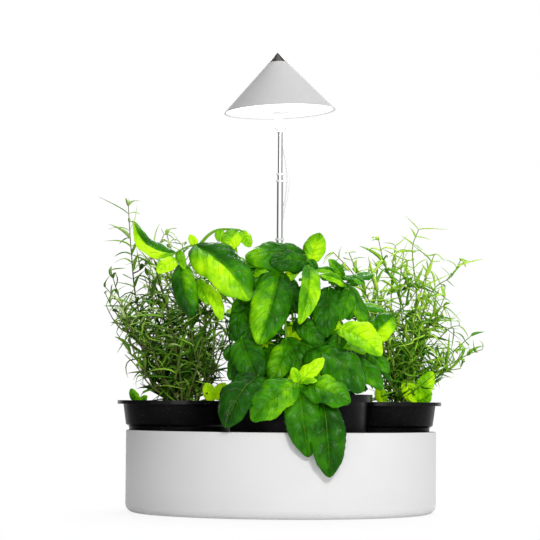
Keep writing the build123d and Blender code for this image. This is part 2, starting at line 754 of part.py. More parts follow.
# Basil: for each stem its places, and for each leaf its base, tip, width, facing, arch and cup,
# all as shares of the herb span, from the front pot's middle at the soil's level
basil_shares = [
    ([(-0.19, -0.02, 0.0), (-0.38, -0.07, 0.56), (-0.68, -0.09, 1.2), (-0.97, -0.16, 1.46), (-1.15, -0.15, 1.395)], [
        ((-1.15, -0.15, 1.395), (-1.54, -0.23, 1.67), 0.20, (0.5, -1.0, 0.6), -0.26, 0.12),
        ((-1.14, -0.16, 1.34), (-1.31, -0.31, 1.205), 0.15, (0.1, -1.0, 0.5), 0.1, 0.1),
        ((-1.12, -0.13, 1.42), (-1.06, -0.25, 1.24), 0.08, (-0.2, -1.0, 0.3), 0.1, 0.05),
        ((-1.10, -0.14, 1.30), (-0.98, -0.31, 0.80), 0.23, (-0.2, -1.0, 0.4), 0.12, 0.18),
        ((-0.97, -0.20, 1.46), (-0.465, -0.41, 0.955), 0.39, (0.2, -1.0, 0.75), 0.14, 0.14),
        ((-0.96, -0.16, 1.46), (-1.02, -0.145, 1.57), 0.08, (0.0, -1.0, 0.3), 0.0, 0.05),
        ((-0.86, -0.12, 1.11), (-0.71, -0.23, 0.77), 0.13, (0.2, -1.0, 0.2), 0.1, 0.1),
        ((-0.93, -0.10, 1.16), (-0.83, -0.17, 0.92), 0.12, (-0.1, -1.0, 0.2), 0.1, 0.1)]),
    ([(-0.95, -0.13, 1.45), (-0.84, -0.06, 1.58), (-0.74, -0.03, 1.63), (-0.58, -0.03, 1.63), (-0.54, -0.02, 1.62)], [
        ((-0.74, -0.03, 1.63), (-0.745, -0.11, 1.51), 0.10, (0.1, -1.0, 0.3), 0.05, 0.1),
        ((-0.58, -0.03, 1.62), (-0.68, -0.16, 1.42), 0.18, (0.2, -1.0, 0.5), 0.14, 0.16),
        ((-0.62, -0.05, 1.50), (-0.63, -0.11, 1.30), 0.09, (0.2, -1.0, 0.2), 0.05, 0.1),
        ((-0.54, -0.02, 1.62), (-0.455, -0.07, 1.465), 0.12, (0.2, -1.0, 0.3), 0.12, 0.1)]),
    ([(-0.06, -0.10, 0.0), (-0.11, -0.07, 0.6), (-0.14, -0.05, 1.0), (-0.17, -0.09, 1.26)], [
        ((-0.18, -0.10, 1.25), (-0.37, -0.38, 0.55), 0.38, (0.1, -1.0, 0.35), 0.12, 0.10),
        ((-0.16, -0.06, 0.9), (-0.56, -0.14, 0.59), 0.19, (0.0, -1.0, 0.3), 0.1, 0.1),
        ((-0.10, -0.10, 0.56), (-0.25, -0.30, 0.20), 0.24, (0.0, -1.0, 0.3), 0.12, 0.12),
        ((-0.12, -0.06, 0.66), (-0.42, 0.08, 0.72), 0.26, (-0.2, 0.2, 1.0), 0.12, 0.14),
        ((-0.12, -0.08, 0.62), (0.06, -0.24, 0.24), 0.26, (0.1, -1.0, 0.3), 0.1, 0.12)]),
    ([(0.06, -0.03, 0.0), (0.12, 0.0, 0.6), (0.10, 0.01, 1.1), (0.09, 0.02, 1.355)], [
        ((0.07, 0.03, 1.385), (-0.50, -0.12, 1.35), 0.26, (0.1, -0.8, 1.0), 0.14, 0.32),
        ((0.08, -0.02, 1.34), (-0.26, -0.20, 1.33), 0.21, (0.1, -1.0, 0.7), 0.1, 0.2),
        ((0.10, 0.04, 1.34), (0.20, 0.04, 1.61), 0.21, (-0.1, -1.0, 0.1), -0.06, 0.12),
        ((0.10, 0.02, 1.36), (0.17, -0.05, 1.26), 0.08, (0.1, -1.0, 0.4), 0.1, 0.05),
        ((0.09, -0.08, 1.29), (0.005, -0.31, 0.74), 0.20, (0.35, -1.0, 0.2), 0.16, -0.14),
        ((0.10, 0.0, 1.0), (0.42, 0.22, 0.95), 0.24, (0.3, 0.3, 1.0), 0.14, 0.14),
        ((0.11, 0.0, 0.80), (0.165, -0.19, 0.565), 0.14, (0.2, -1.0, 0.3), 0.1, 0.1)]),
    ([(0.19, 0.02, 0.0), (0.29, 0.04, 0.6), (0.37, 0.07, 1.17)], [
        ((0.285, -0.02, 1.10), (0.25, -0.17, 0.62), 0.26, (0.1, -1.0, 0.3), 0.12, 0.12),
        ((0.40, 0.07, 1.15), (0.475, -0.02, 0.79), 0.21, (0.1, -1.0, 0.4), 0.12, 0.12),
        ((0.44, 0.10, 1.14), (0.655, 0.01, 0.69), 0.17, (0.5, -1.0, 0.5), 0.14, 0.16),
        ((0.37, 0.06, 1.18), (0.285, -0.15, 1.125), 0.09, (0.0, -0.6, 1.0), 0.12, 0.1),
        ((0.38, 0.08, 1.19), (0.51, -0.08, 1.16), 0.10, (0.1, -0.6, 1.0), 0.12, 0.1)]),
    ([(0.24, -0.12, 0.0), (0.36, -0.16, 0.36), (0.39, -0.21, 0.68), (0.50, -0.14, 0.66), (0.68, -0.04, 0.64)], [
        ((0.385, -0.23, 0.70), (0.74, -0.39, 0.475), 0.23, (-0.1, -1.0, 0.8), 0.12, -0.1),
        ((0.68, -0.04, 0.64), (0.865, -0.09, 0.82), 0.19, (-0.3, -1.0, 0.3), 0.08, 0.12),
        ((0.50, -0.18, 0.42), (0.77, -0.31, 0.145), 0.21, (0.3, -1.0, 0.4), 0.1, 0.12)]),
    ([(0.04, -0.16, 0.0), (0.08, -0.20, 0.26), (0.11, -0.23, 0.45)], [
        ((0.11, -0.23, 0.45), (0.555, -0.60, 0.12), 0.36, (0.3, -1.0, 0.8), 0.2, 0.18)]),
    ([(-0.10, -0.30, 0.0), (-0.04, -0.46, 0.13), (0.0, -0.64, 0.20)], [
        ((-0.01, -0.64, 0.19), (0.225, -0.66, 0.42), 0.14, (-0.2, -1.0, 0.3), 0.1, 0.16),
        ((0.01, -0.62, 0.19), (0.19, -0.68, 0.30), 0.11, (0.1, -1.0, 0.4), 0.1, 0.16),
        ((-0.015, -0.65, 0.205), (-0.39, -0.83, -0.17), 0.32, (-0.1, -1.0, 0.75), 0.13, 0.10),
        ((0.045, -0.65, 0.18), (0.455, -0.80, 0.02), 0.31, (0.1, -1.0, 0.85), 0.12, 0.10),
        ((0.005, -0.67, 0.19), (0.105, -0.77, -0.47), 0.30, (0.0, -1.0, 0.2), 0.16, 0.06),
        ((0.03, -0.70, 0.18), (0.295, -0.78, -0.63), 0.28, (0.1, -1.0, 0.15), 0.15, 0.08)]),
    ([(-0.23, -0.20, 0.0), (-0.31, -0.34, 0.16), (-0.40, -0.47, 0.22)], [
        ((-0.42, -0.50, 0.22), (-0.66, -0.76, -0.18), 0.25, (-0.6, -0.8, 0.5), 0.15, 0.10)]),
    ([(-0.30, -0.05, 0.0), (-0.44, -0.10, 0.34), (-0.52, -0.14, 0.62), (-0.52, -0.04, 0.95)], [
        ((-0.53, -0.18, 0.61), (-0.365, -0.46, 0.195), 0.32, (-0.1, -1.0, 0.5), 0.14, 0.12),
        ((-0.56, -0.14, 0.50), (-0.63, -0.27, 0.22), 0.15, (-0.6, -1.0, 0.2), 0.08, 0.16),
        ((-0.51, -0.04, 0.94), (-0.57, -0.17, 0.60), 0.19, (-0.1, -1.0, 0.2), 0.1, 0.12)]),
]

# Sprigs: the foot and the tip of each, as shares of the herb span, from the pot's middle at the
# soil's level
rosemary_shares = [
    ((-0.18, 0.05), (-0.53, 0.06, 2.08)), ((-0.10, -0.08), (-0.36, -0.06, 1.72)),
    ((-0.26, 0.02), (-0.72, 0.02, 1.36)), ((-0.24, 0.14), (-0.66, 0.20, 1.08)),
    ((0.0, 0.10), (-0.18, 0.22, 1.62)), ((0.05, 0.0), (-0.06, 0.04, 1.74)),
    ((0.14, 0.02), (0.15, -0.02, 1.50)), ((0.20, 0.10), (0.30, 0.12, 1.32)),
    ((0.22, -0.06), (0.34, -0.10, 1.02)), ((-0.12, -0.22), (-0.38, -0.36, 1.14)),
    ((-0.22, -0.12), (-0.64, -0.20, 0.76)), ((0.02, -0.24), (-0.10, -0.44, 1.06)),
    ((0.16, 0.24), (0.26, 0.46, 1.02)), ((-0.08, 0.26), (-0.24, 0.52, 1.36)),
    ((-0.22, 0.24), (-0.52, 0.40, 1.50)),
]
tarragon_shares = [
    ((0.10, 0.0), (0.38, 0.04, 1.82)), ((-0.02, 0.0), (0.02, -0.02, 1.64)),
    ((-0.14, 0.02), (-0.28, 0.0, 1.62)), ((0.20, 0.04), (0.64, 0.08, 1.66)),
    ((0.24, 0.0), (0.82, -0.06, 1.42)), ((0.26, -0.06), (1.0, -0.10, 0.92)),
    ((0.22, -0.14), (0.86, -0.18, 0.62)), ((0.12, -0.16), (0.54, -0.30, 1.26)),
    ((0.06, -0.10), (0.24, -0.26, 1.42)), ((-0.16, 0.16), (-0.36, 0.24, 1.36)),
    ((0.04, 0.20), (0.22, 0.42, 1.54)), ((0.18, 0.18), (0.70, 0.36, 1.16)),
    ((-0.04, 0.24), (-0.10, 0.46, 1.58)), ((0.02, -0.14), (0.02, -0.26, 1.06)),
]


def herb_place(middle_x, middle_y, level, share):
    x, y, z = share
    return Vector(middle_x + herb_span * x, middle_y + herb_span * y, level + herb_span * z)


def basil():
    shoots = []
    for places, leaves in basil_shares:
        points = [herb_place(front_x, front_y, front_soil_top, p) for p in places]
        if places[0][2] == 0:
            points[0] = points[0] - Vector(0, 0, root_depth)
        shoot = stem(points, basil_stem_radius, basil_tip_radius)
        blades = []
        for base, tip, width, face, arch, cup in leaves:
            start = herb_place(front_x, front_y, front_soil_top, base)
            end = herb_place(front_x, front_y, front_soil_top, tip)
            blades.append(leaf(start, end, width * herb_span, Vector(*face), arch, cup))
            foot = nearest_on(points, start)
            inside = leaf_rib(start, end, Vector(*face), arch, leaf_width_shares[0][0])
            blades.append(stem([foot, inside], petiole_radius, petiole_radius))
        shoots.append((shoot, blades))
    return shoots


def sprigs(shares, middle_x, middle_y, lean, low_radius, needle, needle_width):
    made = []
    for k, ((foot_x, foot_y), tip_share) in enumerate(shares):
        foot = herb_place(middle_x, middle_y, side_soil_top, (foot_x, foot_y, 0)) - Vector(0, 0, root_depth)
        tip = herb_place(middle_x, middle_y, side_soil_top, tip_share)
        made.append(sprig(foot, tip, lean, k, low_radius, needle, needle_width))
    return Compound(made)


save(bowl(), "bowl")
save(left_spot * pot(side_pot), "left_pot")
save(right_spot * pot(side_pot), "right_pot")
save(front_spot * pot(front_pot), "front_pot")
save(left_spot * soil(side_pot), "left_soil")
save(right_spot * soil(side_pot), "right_soil")
save(front_spot * soil(front_pot) - stake_spot * stake_spike(run_clearance), "front_soil")

save(stake_spot * ground_stake(), "ground_stake")
for k, name in enumerate(tube_names):
    save(pole_spot * tube(k), name)
save(pole_spot * flared_collar(), "outer_collar")
for k, name in ((1, "lower"), (2, "middle"), (3, "top")):
    save(pole_spot * bush(k), name + "_bush")
    if k < 3:
        save(pole_spot * plain_ring(k), name + "_ring")

hinge_spot = Pos(pole_x, pole_y, hinge_height)
head_spot = hinge_spot * Rot(0, -shade_lean, 0)
save(hinge_spot * tilt_knuckle(), "tilt_knuckle")
save(Pos(pole_x, pole_y, top_tube_height) * cable_grommet(), "cable_grommet")
save(hinge_spot * shade_yoke(), "shade_yoke")
save(hinge_spot * hinge_pin(), "hinge_pin")
head_pieces = (shade, shade_cap, centre_rod, clamp_nut, diffuser, led_board, led_chips, board_screws, heat_sink)
for piece in head_pieces:
    save(head_spot * piece(), piece.__name__)

save(cable_stretch(route_top), "cable_top_stretch")
save(cable_stretch(route_upper), "cable_upper_stretch")
save(cable_stretch(route_middle), "cable_middle_stretch")
save(cable_stretch(route_lower), "cable_lower_stretch")
save(cable_stretch(route_table), "cable_table_stretch")
turns, coil_end = coil_path()
print("coil", round(turns.length, 1), "mm, least gap", round(least_gap(turns), 2), "mm")
save(cable_along(turns), "cable_coil")
tail = [tuple(coil_end + Vector(*step)) for step in tail_steps]
save(cable_stretch(tail), "cable_tail")
plug_spot = Pos(*tail[-1]) * Pos(-plug_relief, 0, 0)
save(plug_spot * plug_body(), "plug_body")
save(plug_spot * plug_shell(), "plug_shell")

fused = [shoot.fuse(*blades) if blades else shoot for shoot, blades in basil()]
save(Compound([solid for piece in fused for solid in piece.solids()]), "basil_shoots")
save(sprigs(rosemary_shares, left_x, left_y, 1.5, rosemary_stem_radius, rosemary_needle,
            rosemary_needle_width), "rosemary_shoots")
save(sprigs(tarragon_shares, right_x, right_y, 1.5, tarragon_stem_radius, tarragon_needle,
            tarragon_needle_width), "tarragon_shoots")
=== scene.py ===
"""Looks of the indoor herb planter: bowl, three potted herbs and a telescopic grow lamp.

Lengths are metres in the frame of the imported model. Every shape is a grid worked out with numpy.
"""
import math

import bpy
import numpy as np
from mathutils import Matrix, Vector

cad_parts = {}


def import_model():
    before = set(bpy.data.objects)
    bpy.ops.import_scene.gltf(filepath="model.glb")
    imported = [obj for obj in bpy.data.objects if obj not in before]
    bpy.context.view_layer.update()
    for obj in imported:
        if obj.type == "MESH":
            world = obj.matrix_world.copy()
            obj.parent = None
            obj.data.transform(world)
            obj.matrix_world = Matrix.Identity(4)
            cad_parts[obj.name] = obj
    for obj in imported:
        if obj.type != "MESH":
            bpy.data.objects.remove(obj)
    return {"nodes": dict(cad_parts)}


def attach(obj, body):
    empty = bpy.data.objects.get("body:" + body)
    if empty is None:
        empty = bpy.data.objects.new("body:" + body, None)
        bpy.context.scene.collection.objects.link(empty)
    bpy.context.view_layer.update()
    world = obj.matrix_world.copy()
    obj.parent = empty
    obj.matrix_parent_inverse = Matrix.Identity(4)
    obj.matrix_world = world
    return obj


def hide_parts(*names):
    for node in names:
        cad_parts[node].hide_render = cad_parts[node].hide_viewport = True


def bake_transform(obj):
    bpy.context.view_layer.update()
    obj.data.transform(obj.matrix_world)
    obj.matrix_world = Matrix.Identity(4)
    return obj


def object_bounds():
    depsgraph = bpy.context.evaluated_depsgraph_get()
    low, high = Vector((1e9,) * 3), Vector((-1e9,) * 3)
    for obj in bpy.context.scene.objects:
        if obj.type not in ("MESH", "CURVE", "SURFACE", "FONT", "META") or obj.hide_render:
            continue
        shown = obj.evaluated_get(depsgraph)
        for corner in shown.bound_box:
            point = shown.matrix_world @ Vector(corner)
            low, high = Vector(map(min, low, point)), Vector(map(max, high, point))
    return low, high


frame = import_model()
cad_low, cad_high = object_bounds()
rng = np.random.default_rng(7)
MM = 0.001
WHITE, BLACK = (1.0, 1.0, 1.0), (0.0, 0.0, 0.0)
HINGE = np.array([-0.0028, -0.042, 0.3698])
RIM_RISE = 14.6 * MM        # the shade's rim above the hinge, along the shade's own axis
SHADE_LEAN = 2.6            # degrees that the shade leans to its left
POT_RIM_FOOT = 102.5 * MM   # where the side pots' glossy rims begin


# Arrays and meshes

def vec(*xyz):
    return np.array(xyz, float)


def unit(a):
    """a divided by its length, along the last axis."""
    return a / np.maximum(np.linalg.norm(a, axis=-1, keepdims=True), 1e-12)


def circle(count):
    """Angles evenly spaced round a circle."""
    return np.linspace(0, 2 * math.pi, count, endpoint=False)


def away_from(place, points):
    """How far points are from an upright line through a place."""
    return np.hypot(points[..., 0] - place[0], points[..., 1] - place[1])


def linked(name, data):
    """An object of the scene that holds the data."""
    thing = bpy.data.objects.new(name, data)
    bpy.context.scene.collection.objects.link(thing)
    return thing


def smooth(low, high, x):
    """3t^2 - 2t^3 of x between low and high."""
    t = np.clip((x - low) / (high - low), 0, 1)
    return t * t * (3 - 2 * t)


class Sheets:
    """Gathers grids of points into one mesh, with a colour tone at each point and a UV map."""

    def __init__(self):
        self.points, self.faces, self.tones, self.places, self.count = [], [], [], [], 0

    def add(self, grid, tone=0.5, wrap=False, capped=False):
        """grid is (sheets, rows, columns, 3). wrap joins the last column to the first, and capped closes
        the first and last rows."""
        sheets, rows, columns = grid.shape[:3]
        index = self.count + np.arange(sheets * rows * columns).reshape(sheets, rows, columns)
        if wrap:
            ahead = np.roll(index, -1, axis=2)
            corners = [index[:, :-1], ahead[:, :-1], ahead[:, 1:], index[:, 1:]]
        else:
            corners = [index[:, :-1, :-1], index[:, :-1, 1:], index[:, 1:, 1:], index[:, 1:, :-1]]
        self.faces += np.stack(corners, -1).reshape(-1, 4).tolist()
        if capped:
            self.faces += index[:, 0, ::-1].tolist() + index[:, -1].tolist()
        self.points.append(grid.reshape(-1, 3))
        self.tones.append(np.broadcast_to(tone, grid.shape[:3]).reshape(-1))
        place = np.stack(np.meshgrid(np.linspace(0, 1, columns), np.linspace(0, 1, rows)), -1)
        self.places.append(np.broadcast_to(place, grid.shape[:3] + (2,)).reshape(-1, 2))
        self.count += sheets * rows * columns

    def rod(self, path, thick, thin, sides, tone=0.5):
        """A round bar along a path, whose radius goes from thick to thin, in millimetres."""
        self.add(tube_grid(path, np.linspace(thick, thin, len(path)) * MM, sides), tone, wrap=True,
                 capped=True)

    def make(self, name, skin, body=None, slot=None, nodes=(), flat=False):
        """The mesh object, which rides on a body and stands for CAD nodes, which it hides. slot is not
        used.
        """
        mesh = bpy.data.meshes.new(name)
        mesh.from_pydata(np.concatenate(self.points), [], self.faces)
        mesh.attributes.new("tone", "FLOAT", "POINT").data.foreach_set(
            "value", np.concatenate(self.tones).astype(np.float32))
        corner = np.empty(len(mesh.loops), np.int32)
        mesh.loops.foreach_get("vertex_index", corner)
        uv = np.concatenate(self.places)[corner].astype(np.float32)
        mesh.uv_layers.new(name="place").data.foreach_set("uv", uv.ravel())
        mesh.polygons.foreach_set("use_smooth", np.full(len(mesh.polygons), not flat))
        mesh.materials.append(skin.material)
        piece = linked(name, mesh)
        if body:
            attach(piece, body)
        if nodes:
            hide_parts(*nodes)
        return piece


def along(points, count):
    """count places evenly spaced along a smooth curve through points (Catmull-Rom)."""
    p = np.asarray(points, float)
    ends = np.vstack([2 * p[0] - p[1], p, 2 * p[-1] - p[-2]])
    s = np.linspace(0, len(p) - 1 - 1e-9, 40 * len(p))
    k, t = s.astype(int), (s % 1)[:, None]
    a, b, c, d = (ends[k + i] for i in range(4))
    fine = 0.5 * (2 * b + (c - a) * t + (2 * a - 5 * b + 4 * c - d) * t ** 2
                  + (3 * b - a - 3 * c + d) * t ** 3)
    reach = np.concatenate([[0], np.cumsum(np.linalg.norm(np.diff(fine, axis=0), axis=1))])
    at = np.linspace(0, reach[-1], count)
    return np.stack([np.interp(at, reach, fine[:, i]) for i in range(3)], -1)


def tube_grid(path, radius, sides):
    """Rings of points round a path: p + r (u cos a + w sin a), with u carried along the path."""
    way = unit(np.gradient(path, axis=0))
    u = unit(np.cross(way[0], vec(0.31, 0.83, 0.46)))
    angle = circle(sides)
    rings = []
    for p, w, r in zip(path, way, radius):
        u = unit(u - w * (u @ w))
        v = np.cross(w, u)
        rings.append(p + r * (np.cos(angle)[:, None] * u + np.sin(angle)[:, None] * v))
    return np.array(rings)[None]


# Shaders

class Value:
    """A shader socket. Python's operators on it add Math nodes."""

    def __init__(self, nodes, socket):
        self.nodes, self.socket = nodes, socket

    def math(self, operation, *others):
        return self.nodes.add("Math", {"operation": operation}, (self,) + others)

    def __add__(self, other):
        return self.math("ADD", other)

    def __mul__(self, other):
        return self.math("MULTIPLY", other)

    def __sub__(self, other):
        return self.math("SUBTRACT", other)

    def __mod__(self, other):
        return self.math("MODULO", other)

    def __rsub__(self, other):
        return self.nodes.add("Math", {"operation": "SUBTRACT"}, (other, self))

    __radd__, __rmul__ = __add__, __mul__

    def size(self):
        return self.math("ABSOLUTE")

    def step(self, low, high):
        """0 below low, 1 above high, smooth between."""
        return self.nodes.add("MapRange", {"interpolation_type": "SMOOTHSTEP"},
                              {"Value": self, "From Min": low, "From Max": high})


class Nodes:
    """The nodes of a material or the world."""

    def __init__(self, owner, output):
        owner.use_nodes = True
        self.tree = owner.node_tree
        self.tree.nodes.clear()
        self.output = self.tree.nodes.new("ShaderNodeOutput" + output)

    def feed(self, socket, value):
        if isinstance(value, Value):
            self.tree.links.new(value.socket, socket)
        elif isinstance(value, tuple) and len(socket.default_value) == 4:
            socket.default_value = value + (1.0,)
        else:
            socket.default_value = value

    def show(self, shader):
        self.feed(self.output.inputs["Surface"], shader)

    def add(self, kind, settings, sockets, out=0):
        """A shader node of a kind, its settings first, then the values or links of its sockets."""
        node = self.tree.nodes.new("ShaderNode" + kind)
        for name, value in settings.items():
            if name == "stops":
                while len(node.color_ramp.elements) < len(value):
                    node.color_ramp.elements.new(0.5)
                for stop, (place, colour) in zip(node.color_ramp.elements, value):
                    stop.position, stop.color = place, colour + (1.0,)
            else:
                setattr(node, name, value)
        for name, value in sockets.items() if isinstance(sockets, dict) else enumerate(sockets):
            self.feed(node.inputs[name], value)
        return Value(self, node.outputs[out])


class Surface(Nodes):
    """A material: a Principled shader and what feeds it."""

    def __init__(self, name, **sockets):
        self.material = bpy.data.materials.new(name)
        super().__init__(self.material, "Material")
        self.shader = self.tree.nodes.new("ShaderNodeBsdfPrincipled")
        self.show(Value(self, self.shader.outputs[0]))
        for socket, value in sockets.items():
            self.set(socket.replace("_", " "), value)

    def set(self, socket, value):
        self.feed(self.shader.inputs[socket], value)

    def spot(self, source="Object"):
        return self.add("TexCoord", {}, {}, source)

    def split(self, vector):
        """The three parts of a vector."""
        first = self.add("SeparateXYZ", {}, {0: vector})
        return [Value(self, socket) for socket in first.socket.node.outputs]

    def noise(self, scale, detail=2.0, rough=0.5, stretch=None):
        spot = self.spot()
        if stretch:
            spot = self.add("Mapping", {}, {"Vector": spot, "Scale": stretch})
        return self.add("TexNoise", {}, {"Vector": spot, "Scale": scale, "Detail": detail,
                                         "Roughness": rough})

    def attribute(self, name):
        return self.add("Attribute", {"attribute_name": name}, {}, "Fac")

    def ramp(self, value, stops):
        return self.add("ValToRGB", {"stops": stops}, {0: value})

    def mix(self, factor, a, b):
        """Colour a where factor is 0, b where it is 1."""
        return self.add("Mix", {"data_type": "RGBA"}, {0: factor, 6: a, 7: b}, 2)

    def paint(self, colour, roughness, height, distance, strength=1.0):
        """Sets the colour, the roughness and the bump."""
        self.set("Base Color", colour)
        self.set("Roughness", roughness)
        self.set("Normal", self.add("Bump", {}, {"Strength": strength, "Distance": distance,
                                                 "Height": height}))
        return self


def grey(level):
    return (level,) * 3


def moulded(name, colour, roughness, grain=900.0, depth=0.02 * MM, shift=0.04, **sockets):
    """Moulded or painted: a fine grain, and slow changes of colour, by the share shift, and of gloss."""
    skin = Surface(name, **sockets)
    slow = skin.noise(35.0, 3.0)
    dark = tuple(c * (1 - shift) for c in colour)
    return skin.paint(skin.mix(slow, dark, colour), slow * 0.08 + (roughness - 0.04),
                      skin.noise(grain, 2.0), depth)


def pot_plastic():
    """Black moulded plastic: upright drawing marks, dull scuffs, a little dust, and glossier rims."""
    skin = Surface("pot_plastic", Specular_IOR_Level=0.07, Coat_Roughness=0.12, Coat_IOR=1.3)
    scuff = skin.noise(60.0, 5.0, 0.65).step(0.52, 0.72)
    streak = skin.noise(40.0, 3.0, 0.6, stretch=(6.0, 6.0, 0.5))
    dust = skin.noise(900.0, 1.0).step(0.70, 0.76)
    base = skin.mix(streak, grey(0.002), (0.005, 0.005, 0.006))
    base = skin.mix(dust * 0.5, base, (0.16, 0.15, 0.14))
    height = skin.split(skin.spot())[2]
    skin.set("Coat Weight", height.step(POT_RIM_FOOT, POT_RIM_FOOT + MM) * (streak * 0.5 + 0.1))
    return skin.paint(base, scuff * 0.2 + streak * 0.12 + 0.24, streak + skin.noise(260.0, 3.0) * 0.4,
                      0.12 * MM, 0.6)


def polished(name, colour, roughness):
    """Drawn metal: hair lines along the tube that change its gloss."""
    skin = Surface(name, Metallic=1.0)
    lines = skin.noise(700.0, 3.0, stretch=(1.0, 1.0, 0.02))
    return skin.paint(skin.mix(lines, tuple(0.9 * c for c in colour), colour),
                      lines * 0.06 + roughness, lines, 0.004 * MM, 0.4)


def soil_skin():
    """Moist peat with pale fibres and grit."""
    skin = Surface("soil", Specular_IOR_Level=0.25)
    lump = skin.noise(220.0, 6.0, 0.65)
    grit = skin.noise(1300.0, 2.0).step(0.66, 0.74)
    base = skin.ramp(lump, [(0.25, (0.006, 0.004, 0.003)), (0.55, (0.028, 0.018, 0.011)),
                            (0.8, (0.075, 0.05, 0.03))])
    return skin.paint(skin.mix(grit * 0.6, base, (0.22, 0.17, 0.11)), lump * 0.2 + 0.75,
                      lump + skin.noise(900.0, 4.0) * 0.5, 1.2 * MM)


def basil_skin(name, stops):
    """A basil leaf: tone picks the green and holds painted light and shade, the UV map carries the midrib
    and side veins, and pale leaves get a painted glow that stands for the light they let through."""
    skin = Surface(name, Specular_IOR_Level=0.10, Emission_Strength=0.30)
    across, length = skin.split(skin.spot("UV"))[:2]
    side = (across * 2.0 - 1.0).size()
    phase = (length - side * VEIN_SLANT - side * side * VEIN_CURVE) * VEINS
    vein = 1.0 - ((phase % 1.0 - 0.5).size() * 2.0).step(0.0, 0.15)
    vein = vein * (1.0 - side).step(0.05, 0.45)
    rib = 1.0 - (side + length * 0.012).step(0.018, 0.045)
    lines = vein.math("MAXIMUM", rib)
    mottle = skin.noise(260.0, 4.0, 0.6)
    tone = skin.attribute("tone") + (mottle - 0.5) * 0.2 + (skin.noise(60.0, 2.0) - 0.47) * 0.75
    # painted shade: each puff between two side veins is a little lighter on one side and darker on the
    # other
    tone = tone + (phase % 1.0 - 0.5) * (1.0 - side) * 0.07 + (skin.noise(24.0, 1.0) - 0.5) * 0.35
    colour = skin.ramp(tone, stops)
    pale = skin.mix(0.5, colour, (0.42, 0.78, 0.03))
    colour = skin.mix(vein * 0.15 + rib * 0.34, colour, pale)
    # painted glow: pale leaves give off a little light of their own in place of light let through
    skin.set("Emission Color", skin.mix(tone.step(0.45, 1.0), BLACK, colour))
    return skin.paint(colour, mottle * 0.14 + 0.17,
                      skin.noise(900.0, 2.0) * 0.12 + mottle * 0.6 - lines * 0.9, 0.9 * MM, 0.9)


def blade_skin(name, stops, roughness):
    """Narrow leaves and stems: tone picks the green, and a fine grain varies it."""
    skin = Surface(name, Specular_IOR_Level=0.05)
    grain = skin.noise(500.0, 3.0)
    tone = skin.attribute("tone") + (grain - 0.5) * 0.3
    return skin.paint(skin.ramp(tone, stops), grain * 0.2 + roughness, grain, 0.1 * MM, 0.6)


def glowing():
    """The lit diffuser: white, with a soft light of its own."""
    skin = Surface("lit_diffuser", Emission_Strength=2.5)
    ripple = skin.noise(400.0, 2.0)
    skin.set("Emission Color", skin.mix(ripple, grey(0.97), WHITE))
    return skin.paint(skin.mix(ripple, grey(0.88), grey(0.94)), 0.35, ripple, 0.05 * MM, 0.3)


def shade_paint():
    """Matt paint outside. Inside, where the shade faces down, it is white with a painted glow in place of
    the lamp's light, and its rim's bottom edge glows and whitens less, a painted grey shade line.
    """
    skin = Surface("shade_paint", Emission_Strength=1.0, Specular_IOR_Level=0.02)
    x, _, z = skin.split(skin.spot())
    axis = math.sin(math.radians(SHADE_LEAN)), math.cos(math.radians(SHADE_LEAN))
    rise = (z - HINGE[2]) * axis[1] - (x - HINGE[0]) * axis[0] - RIM_RISE
    # painted glow: where the shade faces down it glows grey-white as if lit by the lamp
    lit = 1.0 - skin.split(skin.spot("Normal"))[2].step(-0.15, 0.1)
    # painted shade: within about 1.4 mm of the rim the glow and the white fall off, which draws a grey
    # line
    lit = lit * (rise.step(0.4 * MM, 1.4 * MM) * 0.8 + 0.2)
    grain = skin.noise(1800.0, 2.0)
    outside = skin.mix(grain, grey(0.50), grey(0.62))
    skin.set("Emission Color", skin.mix(lit, BLACK, grey(0.6)))
    return skin.paint(skin.mix(lit, outside, grey(0.95)), 0.7, grain, 0.03 * MM, 0.5)


def dress(names, skin):
    """Gives the CAD nodes of these names their finish."""
    for name in names.split():
        node = frame["nodes"][name]
        node.data.materials.clear()
        node.data.materials.append(skin.material)


# Camera: the photograph's place, and its angle in degrees

LENS, SENSOR = 143.45, 36.0
EYE = vec(-0.01085, -2.094, 0.1026)
PITCH, ROLL = 3.61, -0.427


def camera():
    """A long lens that looks a little upwards."""
    data = bpy.data.cameras.new("camera")
    data.lens, data.sensor_width, data.clip_start, data.clip_end = LENS, SENSOR, 0.05, 20.0
    eye = linked("camera", data)
    eye.location = EYE
    eye.rotation_euler = (math.radians(90 + PITCH), math.radians(ROLL), 0.0)
    bpy.context.scene.camera = eye


# Lead: one unbroken lead of about 1.8 m, made as a stretch across each joint and a coil. A stretch has
# its name, the bodies it joins and its control points in millimetres

LEAD = 2.8      # mm across
STRETCHES = [
    ("top", ("top_stage", "middle_stage"), [
        (-0.2, -37.4, 358.5), (0.4, -37.4, 349.5), (3.4, -37.2, 337), (5.2, -37, 321), (4.2, -36.6, 306),
        (0.8, -35.8, 292), (-1.3, -35.5, 279)]),
    ("upper", ("middle_stage", "lower_stage"), [
        (-1.3, -35.5, 279), (-2.86, -35.14, 263.4), (-3.16, -35.04, 247.4)]),
    ("middle", ("lower_stage", "stake"), [
        (-3.16, -35.04, 247.4), (-3.46, -34.94, 231.4), (-2.2, -34.6, 204), (-1, -34.4, 172),
        (-1.3, -34, 157)]),
    ("lower", ("stake", "front_plant"), [
        (-1.3, -34, 157), (-1.6, -33.6, 142), (-1, -28, 124.6), (-0.3, -20, 121.8)]),
    ("table", ("front_plant", "bowl_body"), [
        (-0.3, -20, 121.8), (0.4, -12, 119), (2, 8, 111), (3.2, 34, 97.5), (4.4, 64, 87.5), (5.2, 98, 83),
        (5.6, 123, 84.4), (5.8, 140, 86.6), (6, 151, 85.6), (6.5, 158.5, 76), (6.8, 160.8, 58),
        (7.2, 161.6, 34), (8, 162.4, 18), (9.5, 164, 8.5), (15, 166.6, 2.6), (24, 168.4, 1.4),
        (34, 168.4, 1.4)]),
]
